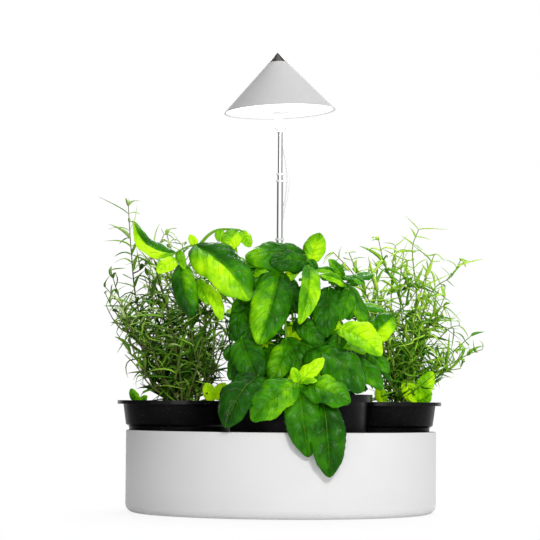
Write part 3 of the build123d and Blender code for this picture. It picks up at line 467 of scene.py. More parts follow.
TAIL_STEPS = [(-9, 0, 0), (-19, 1, -2.4), (-29, 2, -5.8), (-40, 2.4, -7.3), (-50, 2.4, -7.3)]
COIL_RADIUS, COIL_STEP, COIL_RISE = 20.1, -1.65, 3.3
COIL_LAYERS, HALF_TURNS = 4, 5


def coil_route():
    """Half turns about two centres, as wound: in, out, in, out, with a climb at each reversal."""
    at, ahead, radius, step = vec(*STRETCHES[-1][2][-1]), 1.0, COIL_RADIUS, COIL_STEP
    points = []
    for layer in range(COIL_LAYERS):
        for climb in [0] * HALF_TURNS + [1] * (layer < COIL_LAYERS - 1):
            turn = np.linspace(0, math.pi, 8, endpoint=False)
            across = radius * (1 - np.cos(turn))
            points.append(at + np.stack([ahead * radius * np.sin(turn), ahead * across,
                                         climb * COIL_RISE * (1 - np.cos(turn)) / 2], -1))
            at = at + vec(0, ahead * 2 * radius, climb * COIL_RISE)
            ahead = -ahead
            radius += step
        step = -step
        radius += 2 * step
    tail = [at] + [at + vec(*s) for s in TAIL_STEPS]
    return np.vstack(points + [tail])


def spline_points(route):
    """Places along the smooth NURBS line that has the route as its control points."""
    data = bpy.data.curves.new("route", "CURVE")
    data.dimensions = "3D"
    data.resolution_u = 8
    spline = data.splines.new("NURBS")
    spline.points.add(len(route) - 1)
    for point, place in zip(spline.points, route):
        point.co = (*[c * MM for c in place], 1.0)
    spline.order_u = 3
    spline.use_endpoint_u = True
    holder = linked("route", data)
    line = bpy.data.meshes.new_from_object(holder.evaluated_get(bpy.context.evaluated_depsgraph_get()))
    places = np.empty(len(line.vertices) * 3)
    line.vertices.foreach_get("co", places)
    bpy.data.objects.remove(holder)
    return places.reshape(-1, 3)


def lead_piece(name, route, skin, nodes, bodies):
    """A round cord along a route, which rides on one body, or on none where two bodies are given."""
    places = spline_points(route)
    sheets = Sheets()
    sheets.rod(places, LEAD / 2, LEAD / 2, 12)
    piece = sheets.make(name, skin, slot="lead_jacket", nodes=nodes)
    if len(bodies) == 1:
        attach(piece, bodies[0])
    else:
        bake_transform(piece)


def lead(skin):
    """The stretch across each joint, then the put-away coil with the plug."""
    for name, bodies, route in STRETCHES:
        lead_piece("lead_" + name, route, skin, (f"cable_{name}_stretch",), bodies)
    lead_piece("lead_coil", coil_route(), skin, ("cable_coil", "cable_tail"),
               ("bowl_body",))


# The middle of each pot at the soil's level. The herbs' tables are in hundredths, and give places in
# hundredths of SPAN, which are millimetres, from there

SPAN = 0.1
FRONT = vec(0.0151, -0.0815, 0.104)
LEFT = vec(-0.0988, 0.005, 0.095)
RIGHT = vec(0.0966, 0.0212, 0.095)


def placed(middle, row):
    """The places x, y, z that a row of a table gives one after another."""
    return middle + SPAN * (np.array(row).reshape(-1, 3) / 100)


# Basil. A stem's row has its places, and then comes a row of LEAF numbers for each of its leaves: the
# places of its base and its tip, its width, the way it faces (x, y, z), its arch and its cup, then the
# tones of its right side, left side, base and tip, seen from its upper side with the tip away. These
# tones carry painted light and shade: the side of a leaf that faces the light is paler, the other darker

LEAF = 16
BASIL = [
    (-19, -2, 0, -38, -7, 56, -68, -9, 120, -97, -16, 146, -115, -15, 139.5),
    (-115, -15, 139.5, -154, -23, 167, 20, 50, -100, 60, -26, 12, 35, 95, 50, 90),
    (-114, -16, 134, -131, -31, 120.5, 15, 10, -100, 50, 10, 10, 90, 95, 70, 100),
    (-112, -13, 142, -106, -25, 124, 8, -20, -100, 30, 10, 5, 60, 70, 60, 70),
    (-110, -14, 130, -98, -31, 80, 23, -20, -100, 40, 12, 18, 30, 60, 50, 5),
    (-97, -20, 147, -45, -41, 95.5, 45, 20, -100, 60, 14, 14, 80, 36, 35, 70),
    (-96, -16, 146, -102, -14.5, 157, 8, 0, -100, 30, 0, 5, 95, 95, 90, 100),
    (-86, -12, 111, -71, -23, 77, 13, 20, -100, 20, 10, 10, 90, 95, 80, 90),
    (-93, -10, 116, -83, -17, 92, 12, -10, -100, 20, 10, 10, 80, 85, 80, 80),
    (-95, -13, 145, -84, -6, 158, -74, -3, 163, -58, -3, 163, -54, -2, 162),
    (-74, -3, 163, -74.5, -11, 151, 10, 10, -100, 30, 5, 10, 70, 80, 60, 70),
    (-58, -3, 162, -68, -16, 142, 18, 20, -100, 50, 14, 16, 75, 95, 50, 95),
    (-62, -5, 150, -63, -11, 130, 9, 20, -100, 20, 5, 10, 70, 70, 70, 60),
    (-54, -2, 162, -45.5, -7, 146.5, 12, 20, -100, 30, 12, 10, 75, 80, 70, 70),
    (-6, -10, 0, -11, -7, 60, -14, -5, 100, -17, -9, 126),
    (-18, -10, 125, -37, -38, 55, 38, 10, -100, 35, 12, 10, 62, 34, 30, 62),
    (-16, -6, 92, -58, -14, 56, 27, 0, -100, 30, 10, 10, 35, 30, 40, 40),
    (-10, -10, 56, -25, -30, 20, 24, 0, -100, 30, 12, 12, 55, 50, 50, 40),
    (-12, -6, 66, -42, 8, 72, 26, -20, 20, 100, 12, 14, 40, 40, 40, 40),
    (-12, -8, 62, 6, -24, 24, 26, 10, -100, 30, 10, 12, 50, 40, 40, 50),
    (6, -3, 0, 12, 0, 60, 10, 1, 110, 9, 2, 135.5),
    (7, 3, 140, -50, -12, 137, 38, 10, -110, 90, 13, 26, 36, 45, 25, 85),
    (8, -2, 134, -27, -20, 132, 25, 10, -100, 50, 10, 20, 30, 25, 25, 40),
    (10, 4, 134, 20, 4, 161, 21, -10, -100, 10, -6, 12, 80, 75, 95, 60),
    (10, 2, 136, 17, -5, 126, 8, 10, -100, 40, 10, 5, 45, 40, 50, 40),
    (9, -8, 129, 0.5, -31, 74, 20, 35, -100, 20, 16, -14, 60, 85, 40, 90),
    (10, 0, 100, 42, 22, 95, 24, 30, 30, 100, 14, 14, 40, 40, 40, 40),
    (11, 0, 80, 16.5, -19, 56.5, 14, 20, -100, 30, 10, 10, 50, 40, 40, 50),
    (19, 2, 0, 29, 4, 60, 37, 7, 117),
    (28.5, -2, 110, 25, -17, 62, 26, 10, -100, 30, 12, 12, 35, 40, 30, 50),
    (40, 7, 115, 47.5, -2, 79, 21, 10, -100, 40, 12, 12, 45, 40, 35, 55),
    (44, 10, 114, 65.5, 1, 69, 17, 50, -100, 50, 14, 16, 55, 50, 50, 50),
    (37, 6, 118, 28.5, -15, 112.5, 9, 0, -60, 100, 12, 10, 50, 50, 50, 50),
    (42, 6, 118, 15, -5, 126, 13, 10, -90, 100, 14, 16, 50, 75, 40, 80),
    (43, 7, 119, 28, 0, 136, 12, 20, -100, 60, 12, 10, 45, 60, 40, 80),
    (43, 8, 120, 62, -2, 113, 13, 10, -80, 100, 14, 16, 55, 40, 40, 60),
    (38, 8, 119, 51, -8, 116, 10, 10, -60, 100, 12, 10, 45, 40, 40, 50),
    (-30, -2, 0, -36, -6, 70, -44, -3, 122),
    (-44, -5, 122, -60, -14, 136, 12, -20, -100, 50, 10, 10, 80, 90, 70, 90),
    (-44, -5, 120, -27, -16, 127, 12, 20, -100, 70, 12, 10, 75, 60, 70, 90),
    (-43, -6, 116, -24, -14, 105, 13, 10, -100, 60, 10, 10, 50, 40, 50, 60),
    (-44, -5, 114, -50, -18, 93, 14, 0, -100, 30, 10, 10, 35, 30, 40, 50),
    (-42, -6, 102, -29, -17, 86, 15, 10, -100, 40, 10, 10, 40, 45, 40, 50),
    (-41, -4, 102, -62, -12, 86, 15, 0, -100, 40, 10, 10, 40, 35, 40, 40),
    (24, -12, 0, 36, -16, 36, 39, -21, 68, 50, -14, 66, 68, -4, 64),
    (38.5, -23, 71, 76, -39, 45.5, 29, -10, -100, 80, 12, -10, 75, 95, 80, 70),
    (66, -4, 62, 88.5, -9, 84, 25, -30, -100, 30, 8, 12, 85, 45, 80, 40),
    (50, -18, 42, 77, -31, 14.5, 21, 30, -100, 40, 10, 12, 40, 45, 40, 50),
    (-22, 2, 0, -30, 3, 60, -32, 4, 132),
    (-34, -2, 97, -63, -14, 59, 22, -20, -100, 30, 10, 10, 30, 25, 30, 25),
    (-33, 0, 132, -50, -12, 110, 16, 0, -100, 40, 10, 10, 35, 40, 30, 50),
    (-33, -2, 133, -60, -14, 123, 11, 0, -100, 80, 10, 10, 70, 60, 60, 90),
    (-34, -5, 80, -56, -17, 48, 24, 0, -100, 30, 10, 10, 40, 30, 30, 40),
    (-30, -5, 55, -11, -17, 23, 24, 10, -100, 30, 10, 10, 35, 40, 30, 40),
    (-31, -10, 50, -65, -22, 27, 20, -20, -100, 40, 10, 10, 25, 30, 20, 30),
    (2, 2, 0, -4, 3, 60, -8, 4, 128),
    (-12, 2, 122, 0, -10, 84, 16, 20, -100, 20, 10, 10, 25, 30, 25, 30),
    (0, 0, 133, -12, -10, 114, 12, 10, -100, 40, 10, 10, 95, 90, 90, 95),
    (-2, -8, 80, 23, -20, 54, 22, 10, -100, 40, 12, 10, 35, 30, 30, 40),
    (-9, 4, 51, 5, -8, 70, 13, 10, -100, 30, 10, 10, 95, 90, 90, 95),
    (-8, -10, 56, 2, -22, 24, 22, 10, -100, 20, 10, 10, 35, 30, 30, 40),
    (0, -12, 58, 31, -24, 40, 20, 10, -100, 50, 12, 10, 30, 40, 30, 40),
    (28, 0, 0, 36, 0, 60, 44, 0, 112),
    (30, 0, 84, 37, -10, 61, 12, 10, -100, 30, 10, 10, 90, 85, 80, 90),
    (44, -5, 111, 20, -17, 120, 11, 10, -100, 80, 12, 12, 50, 80, 40, 90),
    (47, -2, 108, 38, -14, 78, 17, 0, -100, 30, 10, 10, 40, 45, 35, 60),
    (30, -6, 100, 18, -18, 70, 17, 0, -100, 30, 10, 10, 40, 45, 40, 50),
    (42, -10, 70, 29, -22, 47, 16, 0, -100, 30, 10, 10, 40, 30, 40, 40),
    (66, -5, 50, 84, -17, 30, 16, 30, -100, 40, 10, 10, 50, 40, 40, 50),
    (4, -16, 0, 8, -20, 26, 11, -23, 45),
    (10, -21, 50, 57.5, -58, 12, 44, 30, -100, 80, 20, 18, 35, 40, 30, 35),
    (-10, -30, 0, -4, -46, 13, 0, -64, 20),
    (-1, -64, 19, 22.5, -66, 42, 14, -20, -100, 30, 10, 16, 90, 95, 80, 100),
    (1, -62, 19, 19, -68, 30, 11, 10, -100, 40, 10, 16, 50, 50, 50, 40),
    (-3, -64, 20, -42, -78, -15, 37, -10, -100, 75, 13, 8, 55, 65, 50, 60),
    (4.5, -65, 18, 46, -78, 2, 35, 10, -100, 85, 12, 8, 50, 55, 50, 45),
    (-0.5, -66, 19, 9, -76, -47, 33, 0, -100, 20, 14, 4, 36, 40, 53, 23),
    (22, -69, 5, 28, -76.5, -65, 33, 10, -100, 15, 12, 4, 32, 26, 34, 23),
    (2, -66, 22, 10, -60, 37, 11, -20, -100, 40, 10, 16, 85, 90, 80, 90),
    (-1, -68, 20, -6, -74, 33, 9, 0, -100, 40, 10, 16, 80, 90, 80, 90),
    (3, -68, 20, 16, -76, 21, 9, 0, -70, 100, 10, 16, 70, 80, 70, 80),
    (-23, -20, 0, -31, -34, 16, -40, -47, 22),
    (-36, -46, 27, -66, -74, -21, 38, -40, -90, 40, 15, 8, 14, 24, 12, 20),
    (-42, -40, 30, -62, -55, 5, 22, -30, -100, 30, 10, 10, 20, 20, 20, 20),
    (-30, -5, 0, -44, -10, 34, -52, -14, 62, -52, -4, 95),
    (-53, -18, 61, -36.5, -46, 19.5, 32, -10, -100, 50, 14, 12, 40, 35, 30, 40),
    (-56, -14, 50, -63, -27, 22, 15, -60, -100, 20, 8, 16, 40, 30, 40, 20),
    (-51, -4, 94, -57, -17, 60, 19, -10, -100, 20, 10, 12, 25, 30, 30, 20),
]
ROWS, COLUMNS = 30, 19
VEINS, VEIN_SLANT, VEIN_CURVE = 6.0, 0.12, 0.16
PUFF, DIMPLE, GROOVE, WAVE = 0.48, 0.05, 0.14, 0.14


def leaf_grid(base, tip, width, face, arch, cup, tones, seed, rows=ROWS, columns=COLUMNS):
    """A leaf over t along it and v across it, from -1 to 1.

    The midrib is base + t L f + 4 t (1 - t) arch L n. The half width follows sin(pi t^0.85)^0.46 and
    is drawn in near the tip, v^2 lowers the edges by cup, a groove follows the midrib, and the leaf
    puffs up by |sin| between the side veins and in small dimples. The edge waves, and the tip turns
    down. PUFF, DIMPLE, GROOVE and WAVE are shares of the half width, and seed shifts the waves.
    """
    even = np.linspace(0, 1, rows)[:, None, None]
    t = 0.6 * even + 0.2 * (1 - np.cos(math.pi * even))
    v = np.linspace(-1, 1, columns)[None, :, None]
    length = np.linalg.norm(tip - base)
    f = unit(tip - base)
    s = unit(np.cross(f, face))
    n = np.cross(s, f)
    half = width / 2 * np.maximum(np.sin(math.pi * t ** 0.85), 1e-3) ** 0.46
    half = half * (1 - 0.26 * smooth(0.78, 1.0, t)) * (1 + 0.02 * np.sin(70 * t + 9 * seed))
    side = np.abs(v)
    phase = (t - VEIN_SLANT * side - VEIN_CURVE * side ** 2) * VEINS
    puff = np.abs(np.sin(math.pi * phase)) ** 0.7 * side * (1 - side ** 2) * PUFF * half
    dimple = DIMPLE * half * np.sin(17 * t + 9 * v + 7 * seed) * np.sin(11 * v - 6 * t) * (1 - side ** 2)
    groove = -GROOVE * half * np.exp(-(v / 0.10) ** 2)
    wave = WAVE * half * np.sin(2 * math.pi * (2.3 * t + seed) + 1.3 * np.sign(v)) * v ** 2
    drop = cup * 2 * half * v ** 2
    curl = 0.9 * length * arch * np.clip(t - 0.72, 0, 1) ** 2
    bow = arch * length * 4 * t * (1 - t)
    sway = 0.03 * length * np.sin(math.pi * t) * math.sin(9.0 * seed)
    height = bow + puff + dimple + groove + wave - drop - curl
    grid = base + f * length * t + n * height + s * (v * half + sway)
    # painted light and shade: the leaf's lit half and its shaded half get their own tones, blended at the
    # midrib
    right, left, low, high = tones
    tone = np.where(v > 0, right, left) * np.ones_like(t)
    edge = smooth(0.0, 0.12, side)
    tone = 0.5 * (right + left) * (1 - edge) + tone * edge
    tone = (tone + (low - tone) * (1 - smooth(0.0, 0.35, t)) * 0.6
            + (high - tone) * smooth(0.6, 1.0, t) * 0.6)
    return grid[None], tone[None, ..., 0]


def closest(points, place):
    """The place on a line of points that is nearest to another."""
    fine = along(points, 60)
    return fine[np.linalg.norm(fine - place, axis=1).argmin()]


LEAF_WALL = 0.45 * MM


def thicken(blades):
    """Gives thin leaves their thickness."""
    wall = blades.modifiers.new("skin", "SOLIDIFY")
    wall.thickness, wall.offset = LEAF_WALL, 0.0


# What the inner leaves keep off, in millimetres. HIDDEN is the share of a leaf that may lie too far
# forward

OVERLAP, HIDDEN = 3, 0.12
POLE_X, POLE_ROOM, POLE_FRONT, POLE_TOP = -1, 9, -51, 262
LEFT_EDGE, LEFT_FRONT, LEFT_END = -48, -66, -56
RIGHT_EDGE, RIGHT_FRONT = 34, -47
SOIL_TOP, RIM_TOP, RIM_REACH = 107, 116, 60
BACK = -20


def basil_room(grid, front):
    """Whether an inner leaf stays behind the leaves in front, given by their points, between the CAD
    model's front and BACK, and off the pole, its lead, the other pots' lift, the soil and the pot's rim.

    A point is too far forward where a front point within OVERLAP of it in x and z lies behind it, and
    the leaf is refused where more than the share HIDDEN of its points are.
    """
    flat = grid.reshape(-1, 3) / MM
    x, y, z = flat.T
    near = ((np.abs(front[:, None, 0] / MM - x) < OVERLAP)
            & (np.abs(front[:, None, 2] / MM - z) < OVERLAP))
    if (near & (front[:, None, 1] / MM > y)).any(0).mean() > HIDDEN:
        return False
    pole = (np.abs(x - POLE_X) < POLE_ROOM) & (y > POLE_FRONT) & (z < POLE_TOP)
    left_lift = ((x < LEFT_EDGE) & (y > LEFT_FRONT)) | (x < LEFT_END)
    right_lift = (x > RIGHT_EDGE) & (y > RIGHT_FRONT)
    soil_or_rim = (z < SOIL_TOP) | ((z < RIM_TOP) & (away_from(FRONT / MM, flat) > RIM_REACH))
    outside = (y < cad_low[1] / MM) | (y > BACK)
    return not (pole | left_lift | right_lift | soil_or_rim | outside).any()


QUARTER_TURN, SPIRAL_TURN = 1.57, 2.4       # radians
INNER_SHOOTS, INNER_SPREAD = 44, 0.46
WHORLS, TRIES = 7, 5
INNER_BRIGHT, INNER_LENGTH, INNER_WIDTH = 0.18, (26, 44), (0.58, 0.75)
INNER_ROWS, INNER_COLUMNS, INNER_STALK_END = 14, 9, 2


def inner_leaf(at, heading, share, attempt):
    """A leaf from a place at a share of its stem's height. Later attempts are shorter."""
    dip = rng.uniform(-0.9, 0.25) + (0.5 if share == 1.0 else 0.0)
    length = rng.uniform(*INNER_LENGTH) * MM * (1.0 if share < 0.9 else 0.7) * (1 - 0.08 * attempt)
    way = unit(vec(math.cos(heading), math.sin(heading), dip))
    base = at + way * 4 * MM
    face = unit(vec(way[0] * 0.4, way[1] * 0.4 - 0.35, 1.0))
    bright = rng.uniform() < INNER_BRIGHT
    tone = rng.uniform(0.7, 0.95) if bright else rng.uniform(0.12, 0.58) + 0.12 * share
    tones = (tone, tone + rng.uniform(-0.1, 0.12), tone, tone)
    return base, leaf_grid(base, base + way * length, length * rng.uniform(*INNER_WIDTH), face,
                           rng.uniform(0.08, 0.2), rng.uniform(0.05, 0.2), tones, rng.uniform(),
                           INNER_ROWS, INNER_COLUMNS)


def inner_shoots(front):
    """The shoots behind the ones in front, set out in a spiral: on each, leaves in opposite pairs, a
    quarter turn apart. Gives the lines of stems and stalks, and the leaves, that have room."""
    lines, leaves = [], []
    for k in range(INNER_SHOOTS):
        turn, out = SPIRAL_TURN * k + 0.4, INNER_SPREAD * math.sqrt((k + 0.5) / INNER_SHOOTS)
        foot = vec(out * math.cos(turn), out * math.sin(turn), -0.04)
        high = rng.uniform(0.75, 1.18) - 0.35 * max(0.0, -foot[1])
        top = vec(foot[0] * 1.5, foot[1] * 1.15 + 0.02, high)
        bend = vec(*rng.uniform(-0.05, 0.05, 2), 0)
        line = FRONT + SPAN * along([foot, (foot + top) / 2 + bend, top], 16)
        if not basil_room(line[3:], front):
            continue
        lines.append(line)
        for j, share in enumerate(np.linspace(0.16, 1.0, WHORLS)):
            at = line[int(share * 15)]
            for side in (0, math.pi):
                for attempt in range(TRIES):
                    heading = turn + QUARTER_TURN * j + side + rng.uniform(-0.5, 0.5) * (1 + attempt)
                    base, leaf = inner_leaf(at, heading, share, attempt)
                    if basil_room(leaf[0], front):
                        leaves.append(leaf)
                        inside = leaf[0][0, INNER_STALK_END, INNER_COLUMNS // 2]
                        lines.append(along([at, base, inside], 5))
                        break
    return lines, leaves


FOOT_DEPTH = 4 * MM     # how far a stem reaches into the soil
STALK_END = 3           # the row of a leaf's grid that its stalk reaches
SEED_STEP = 0.37        # what sets the waves of each leaf off from the last one's


def grow(table, middle, leaves, stems):
    """Adds the stems of a table, its leaves and the short stalk that carries each leaf."""
    seed = 0.0
    for row in table:
        if len(row) < LEAF:
            line = placed(middle, row)
            if row[2] == 0:
                line[0, 2] -= FOOT_DEPTH
            path = along(line, 24)
            stems.rod(path, 1.7, 0.9, 8, 0.45)
            continue
        seed += SEED_STEP
        base, tip = placed(middle, row[:6])
        width, *face, arch, cup = np.array(row[6:12]) / 100
        grid, tone = leaf_grid(base, tip, width * SPAN, face, arch, cup, np.array(row[12:]) / 100, seed)
        leaves.add(grid, tone)
        root, inside = closest(path, base), grid[0, STALK_END, COLUMNS // 2]
        bend = (root + base) / 2 + vec(0, 0, 0.12 * np.linalg.norm(base - root))
        stems.rod(along([root, bend, base, inside], 12), 0.95, 0.5, 6)


def basil(leaf_skin, stem_skin):
    """The leaves of the table, the inner shoots' leaves, and all stems."""
    leaves, stems = Sheets(), Sheets()
    grow(BASIL, FRONT, leaves, stems)
    thicken(leaves.make("basil_leaves", leaf_skin, "front_plant", "basil", ("basil_shoots",)))
    inner = Sheets()
    lines, shaded = inner_shoots(np.concatenate([
        sheet.reshape(ROWS, COLUMNS, 3)[::3, ::3].reshape(-1, 3) for sheet in leaves.points]))
    for line in lines:
        stems.rod(line, 1.2, 0.6, 6, 0.0)
    for leaf in shaded:
        inner.add(*leaf)
    thicken(inner.make("basil_inner_leaves", leaf_skin, "front_plant", "basil"))
    stems.make("basil_stems", stem_skin, "front_plant", "basil")


# Rosemary and tarragon: the places of each sprig

ROSEMARY = [
    (-2, 0, 13, -29, -5, 61, -43, -5, 109, -49, 0, 159, -53, 5, 208),
    (-8, 0, 12, -36, -10, 61, -54, -15, 99, -74, -15, 123),
    (-10, 5, 12, -42, 10, 71, -60, 15, 110, -71, 15, 143),
    (-11, -10, 10, -38, -20, 46, -51, -25, 78, -65, -30, 91),
    (-12, 10, 11, -35, 20, 42, -52, 20, 61, -65, 25, 80),
    (-9, -10, 11, -28, -25, 27, -41, -30, 45, -52, -35, 56),
    (5, 0, 13, -5, 0, 71, -21, 5, 130, -34, 10, 172),
    (8, 0, 13, 4, 5, 71, -3, 10, 130, -16, 10, 180),
    (12, 5, 13, 13, 0, 71, 9, -5, 124, 0, -5, 169),
    (15, 5, 13, 23, 5, 71, 23, 10, 121, 21, 15, 164),
    (18, 5, 13, 31, 10, 62, 36, 10, 111, 40, 20, 148),
    (15, -5, 11, 34, -10, 42, 47, -10, 81, 54, -10, 110),
    (3, -20, 9, 1, -35, 41, -6, -45, 79, -13, -45, 117),
    (7, -20, 9, 17, -35, 41, 24, -45, 75, 30, -50, 103),
    (1, -20, 9, -15, -30, 36, -27, -40, 65, -34, -40, 96),
    (-5, 20, 13, -22, 35, 72, -33, 45, 122, -31, 50, 157),
    (9, 20, 13, 8, 35, 62, 13, 45, 112, 13, 50, 151),
    (4, 20, 13, -10, 40, 62, -15, 50, 112, -9, 55, 155),
    (-1, 20, 11, -23, 35, 32, -39, 45, 62, -47, 50, 92),
    (14, 20, 11, 26, 35, 33, 36, 40, 63, 44, 45, 83),
]
TARRAGON = [
    (22, 0, 13, 28, 0, 63, 36, 5, 113, 32, 5, 162, 39, 5, 185),
    (15, 0, 13, 5, 0, 73, -18, 0, 127, -32, 0, 162),
    (13, 10, 13, 1, 15, 73, -22, 20, 133, -47, 20, 162),
    (25, 5, 13, 35, 10, 73, 52, 10, 121, 70, 10, 136, 81, 10, 154),
    (28, 0, 13, 44, -10, 33, 68, -10, 49, 88, -10, 60, 100, -10, 64),
    (27, -10, 12, 38, -20, 28, 58, -25, 41, 77, -30, 45),
    (26, 5, 13, 38, 10, 49, 53, 10, 68, 69, 10, 85, 79, 10, 88),
    (24, -5, 13, 33, -10, 63, 48, -15, 92, 64, -15, 109),
    (29, 10, 13, 50, 10, 42, 75, 15, 64, 92, 15, 79),
    (18, 0, 13, 12, -5, 73, 11, -5, 132, 15, -5, 170),
    (16, -5, 13, 3, -15, 63, -3, -20, 111, -5, -25, 148),
    (23, 15, 13, 25, 25, 74, 21, 30, 124, 26, 35, 168),
    (24, -5, 13, 29, -10, 73, 43, -10, 132, 54, -10, 160),
    (24, 15, 13, 28, 30, 54, 47, 35, 84, 62, 40, 118),
    (19, 20, 13, 20, 35, 64, 6, 45, 104, -10, 50, 147),
    (25, 20, 13, 34, 35, 64, 43, 45, 105, 51, 50, 147),
    (17, -20, 12, 12, -35, 43, 6, -45, 72, 3, -50, 98),
    (22, -20, 12, 26, -35, 43, 29, -45, 72, 32, -50, 99),
]
RINGS = np.array([0.0, 0.12, 0.32, 0.52, 0.70, 0.86, 1.0])     # shares of a narrow leaf's length
PLUMP = np.array([0.35, 0.8, 1.0, 0.95, 0.75, 0.45, 0.10])     # and of its width there
RIDGE, KEEL = 0.42, 0.16    # its height above and below its edges, in shares of its half width


def blades(root, way, side, length, width, curl, twist):
    """Narrow leaves, all at once: root + L (way r + curl r^2 + twist r^3) at rings r, each ring a flat
    diamond."""
    r = RINGS[None, :, None]
    line = root[:, None] + length[:, None, None] * (way[:, None] * r + curl[:, None] * r ** 2
                                                    + twist[:, None] * r ** 3)
    ahead = unit(np.gradient(line, axis=1))
    across = unit(side[:, None] - ahead * (side[:, None] * ahead).sum(-1, keepdims=True))
    up = np.cross(across, ahead)
    half = (width[:, None] / 2 * PLUMP[None])[..., None]
    return np.stack([line + across * half, line + up * half * RIDGE,
                     line - across * half, line - up * half * KEEL], 2)


# A look says how many twigs a sprig has, their length in shares of SPAN, how they rise and spread, and
# the stem's radius. Then for the leaves: the bare share of the stem, the turn from pair to pair, how far
# they lift along the stem, there and more at its top, and stray, how they bend down, their length and
# width in millimetres, how they curl and twist at random, their tones below and above, and a test of
# what has room

WHORL_GAP = 8.4 * MM


def sprig_lines(table, middle, look):
    """The main stems, and side twigs that leave them and turn up, as (path, whether it is a main one).

    An upright tip is drawn back by up to 0.12 of its last stretch, because its leaves reach past it.
    """
    lines = []
    for row in table:
        line = placed(middle, row)
        line[-1] += (line[-2] - line[-1]) * 0.12 * unit(line[-1] - line[-2])[2] ** 2
        foot = middle + vec(*(line[0] - middle)[:2] * 0.8, -FOOT_DEPTH)
        main = along([foot, *line], 30)
        lines.append((main, True))
        for j in range(look["twigs"]):
            start = main[int(rng.uniform(3, 25))]
            heading = rng.uniform(0, 2 * math.pi)
            reach = SPAN * rng.uniform(*look["twig"])
            out = vec(math.cos(heading), math.sin(heading), 0)
            s = np.linspace(0, 1, 12)[:, None]
            rise = vec(0, 0, 1) * reach * (look["rise"] * s + (1 - look["rise"]) * s ** 2)
            lines.append((start + out * reach * look["spread"] * s ** 0.8 + rise, False))
    return lines


def sprigs(name, table, middle, body, skins, look):
    """A pot of sprigs: stems, and leaves that stand round them in pairs, each turned from the last."""
    stems, greens = Sheets(), Sheets()
    low, high = look["tone"]
    leaves = []
    for path, main in sprig_lines(table, middle, look):
        if not look["room"](path[None, 7 if main else 0:]).all():
            continue
        stems.rod(path, look["stem"] * (1.0 if main else 0.6), 0.4, 6)
        reach = np.linalg.norm(np.diff(path, axis=0), axis=1).sum()
        whorls = max(int(reach / WHORL_GAP), 3)
        share = np.linspace(look["bare"] if main else 0.15, 1.0, whorls)
        at = np.stack([np.interp(share, np.linspace(0, 1, len(path)), path[:, i]) for i in range(3)], -1)
        ahead = unit(np.gradient(at, axis=0))
        u = unit(np.cross(ahead, vec(0.3, 0.2, 1.0)))
        w = np.cross(ahead, u)
        own = rng.uniform(-0.12, 0.12)
        for k in range(2):
            turn = (np.arange(whorls) * look["turn"] + math.pi * k
                    + rng.uniform(-0.6, 0.6, whorls))[:, None]
            out = u * np.cos(turn) + w * np.sin(turn)
            lift = (look["lift"] + share[:, None] ** 4 * look["top_lift"]
                    + rng.uniform(-0.3, 0.4, (whorls, 1)))
            above = np.clip((at[:, 2] - middle[2]) / 0.15, 0, 1)
            leaves.append((
                at, unit(out + ahead * lift + rng.normal(0, look["stray"], (whorls, 3))),
                np.cross(ahead, out), look["bend"] * (out * 0.4 - ahead * 0.5), 1.0 - 0.5 * share ** 3,
                own + low + (high - low) * smooth(0.1, 1.0, share) * above
                + rng.uniform(-0.34, 0.34, whorls)))
    root, way, side, curl, size, tone = (np.concatenate(a) for a in zip(*leaves))
    count = len(root)
    length = rng.uniform(*np.array(look["length"]) * MM, count) * size
    width = rng.uniform(*np.array(look["width"]) * MM, count)
    curl = curl + rng.normal(0, look["curl"], (count, 3))
    twist = rng.normal(0, look["twist"], (count, 3))
    grid = blades(root, way, side, length, width, curl, twist)
    keep = look["room"](grid)
    greens.add(grid[keep], tone[keep][:, None, None], wrap=True, capped=True)
    greens.make(name + "_leaves", skins[0], body, name, (name + "_shoots",))
    stems.make(name + "_stems", skins[1], body, name)


BASIL_BACK, LEAF_LOW, FRONT_LIFT = -62 * MM, 96 * MM, 71 * MM


def side_room(middle, limit_x, sign, girth, flare):
    """A test for the leaves and stems of a side pot: they stay on its side of limit_x, behind the basil,
    above the soil, in the CAD model's box, within a cone that widens upwards by flare, and clear of the
    front pot as it lifts."""
    def room(grid):
        flat = grid.reshape(len(grid), -1, 3)
        inner = (sign * flat[..., 0]).min(1) > limit_x
        front = flat[..., 1].min(1) > BASIL_BACK
        high = flat[..., 2].min(1) > LEAF_LOW
        boxed = (flat > cad_low).all(-1).all(-1) & (flat < cad_high).all(-1).all(-1)
        slim = (away_from(middle, flat) < girth + flare * (flat[..., 2] - middle[2])).all(-1)
        lift = away_from(FRONT, flat).min(1) > FRONT_LIFT
        return inner & front & high & boxed & slim & lift
    return room


# Broad seed leaves at the feet of the side herbs, in rows as in the basil's table

LEFT_SEEDLINGS = [
    (-36, -20, -4, -39, -22, 10),
    (-39, -23, 10, -46, -27, 23, 9, -40, -100, 30, 10, 10, 60, 50, 50, 70),
    (-38, -22, 10, -30, -27, 16, 7, 20, -100, 50, 10, 10, 50, 60, 50, 70),
    (32, -10, -4, 33, -14, 16),
    (33, -15, 12, 26, -22, 29, 13, 0, -100, 30, 10, 10, 85, 95, 80, 90),
    (34, -14, 14, 45, -22, 29, 13, 10, -100, 40, 10, 10, 95, 85, 80, 95),
]
RIGHT_SEEDLINGS = [
    (2, -26, -4, 2, -30, 12),
    (2, -31, 11, -3, -36, 27, 12, -10, -100, 20, 10, 10, 70, 85, 70, 80),
    (36, -16, -4, 35, -20, 14),
    (34, -21, 13, 22, -27, 33, 16, -20, -100, 30, 10, 10, 80, 90, 70, 90),
    (36, -21, 14, 50, -25, 42, 17, 10, -100, 30, 12, 10, 85, 70, 70, 95),
    (35, -24, 12, 26, -36, 16, 12, 0, -100, 60, 12, 10, 80, 90, 80, 90),
    (37, -23, 12, 49, -33, 21, 15, 20, -100, 50, 12, 10, 65, 80, 70, 90),
]


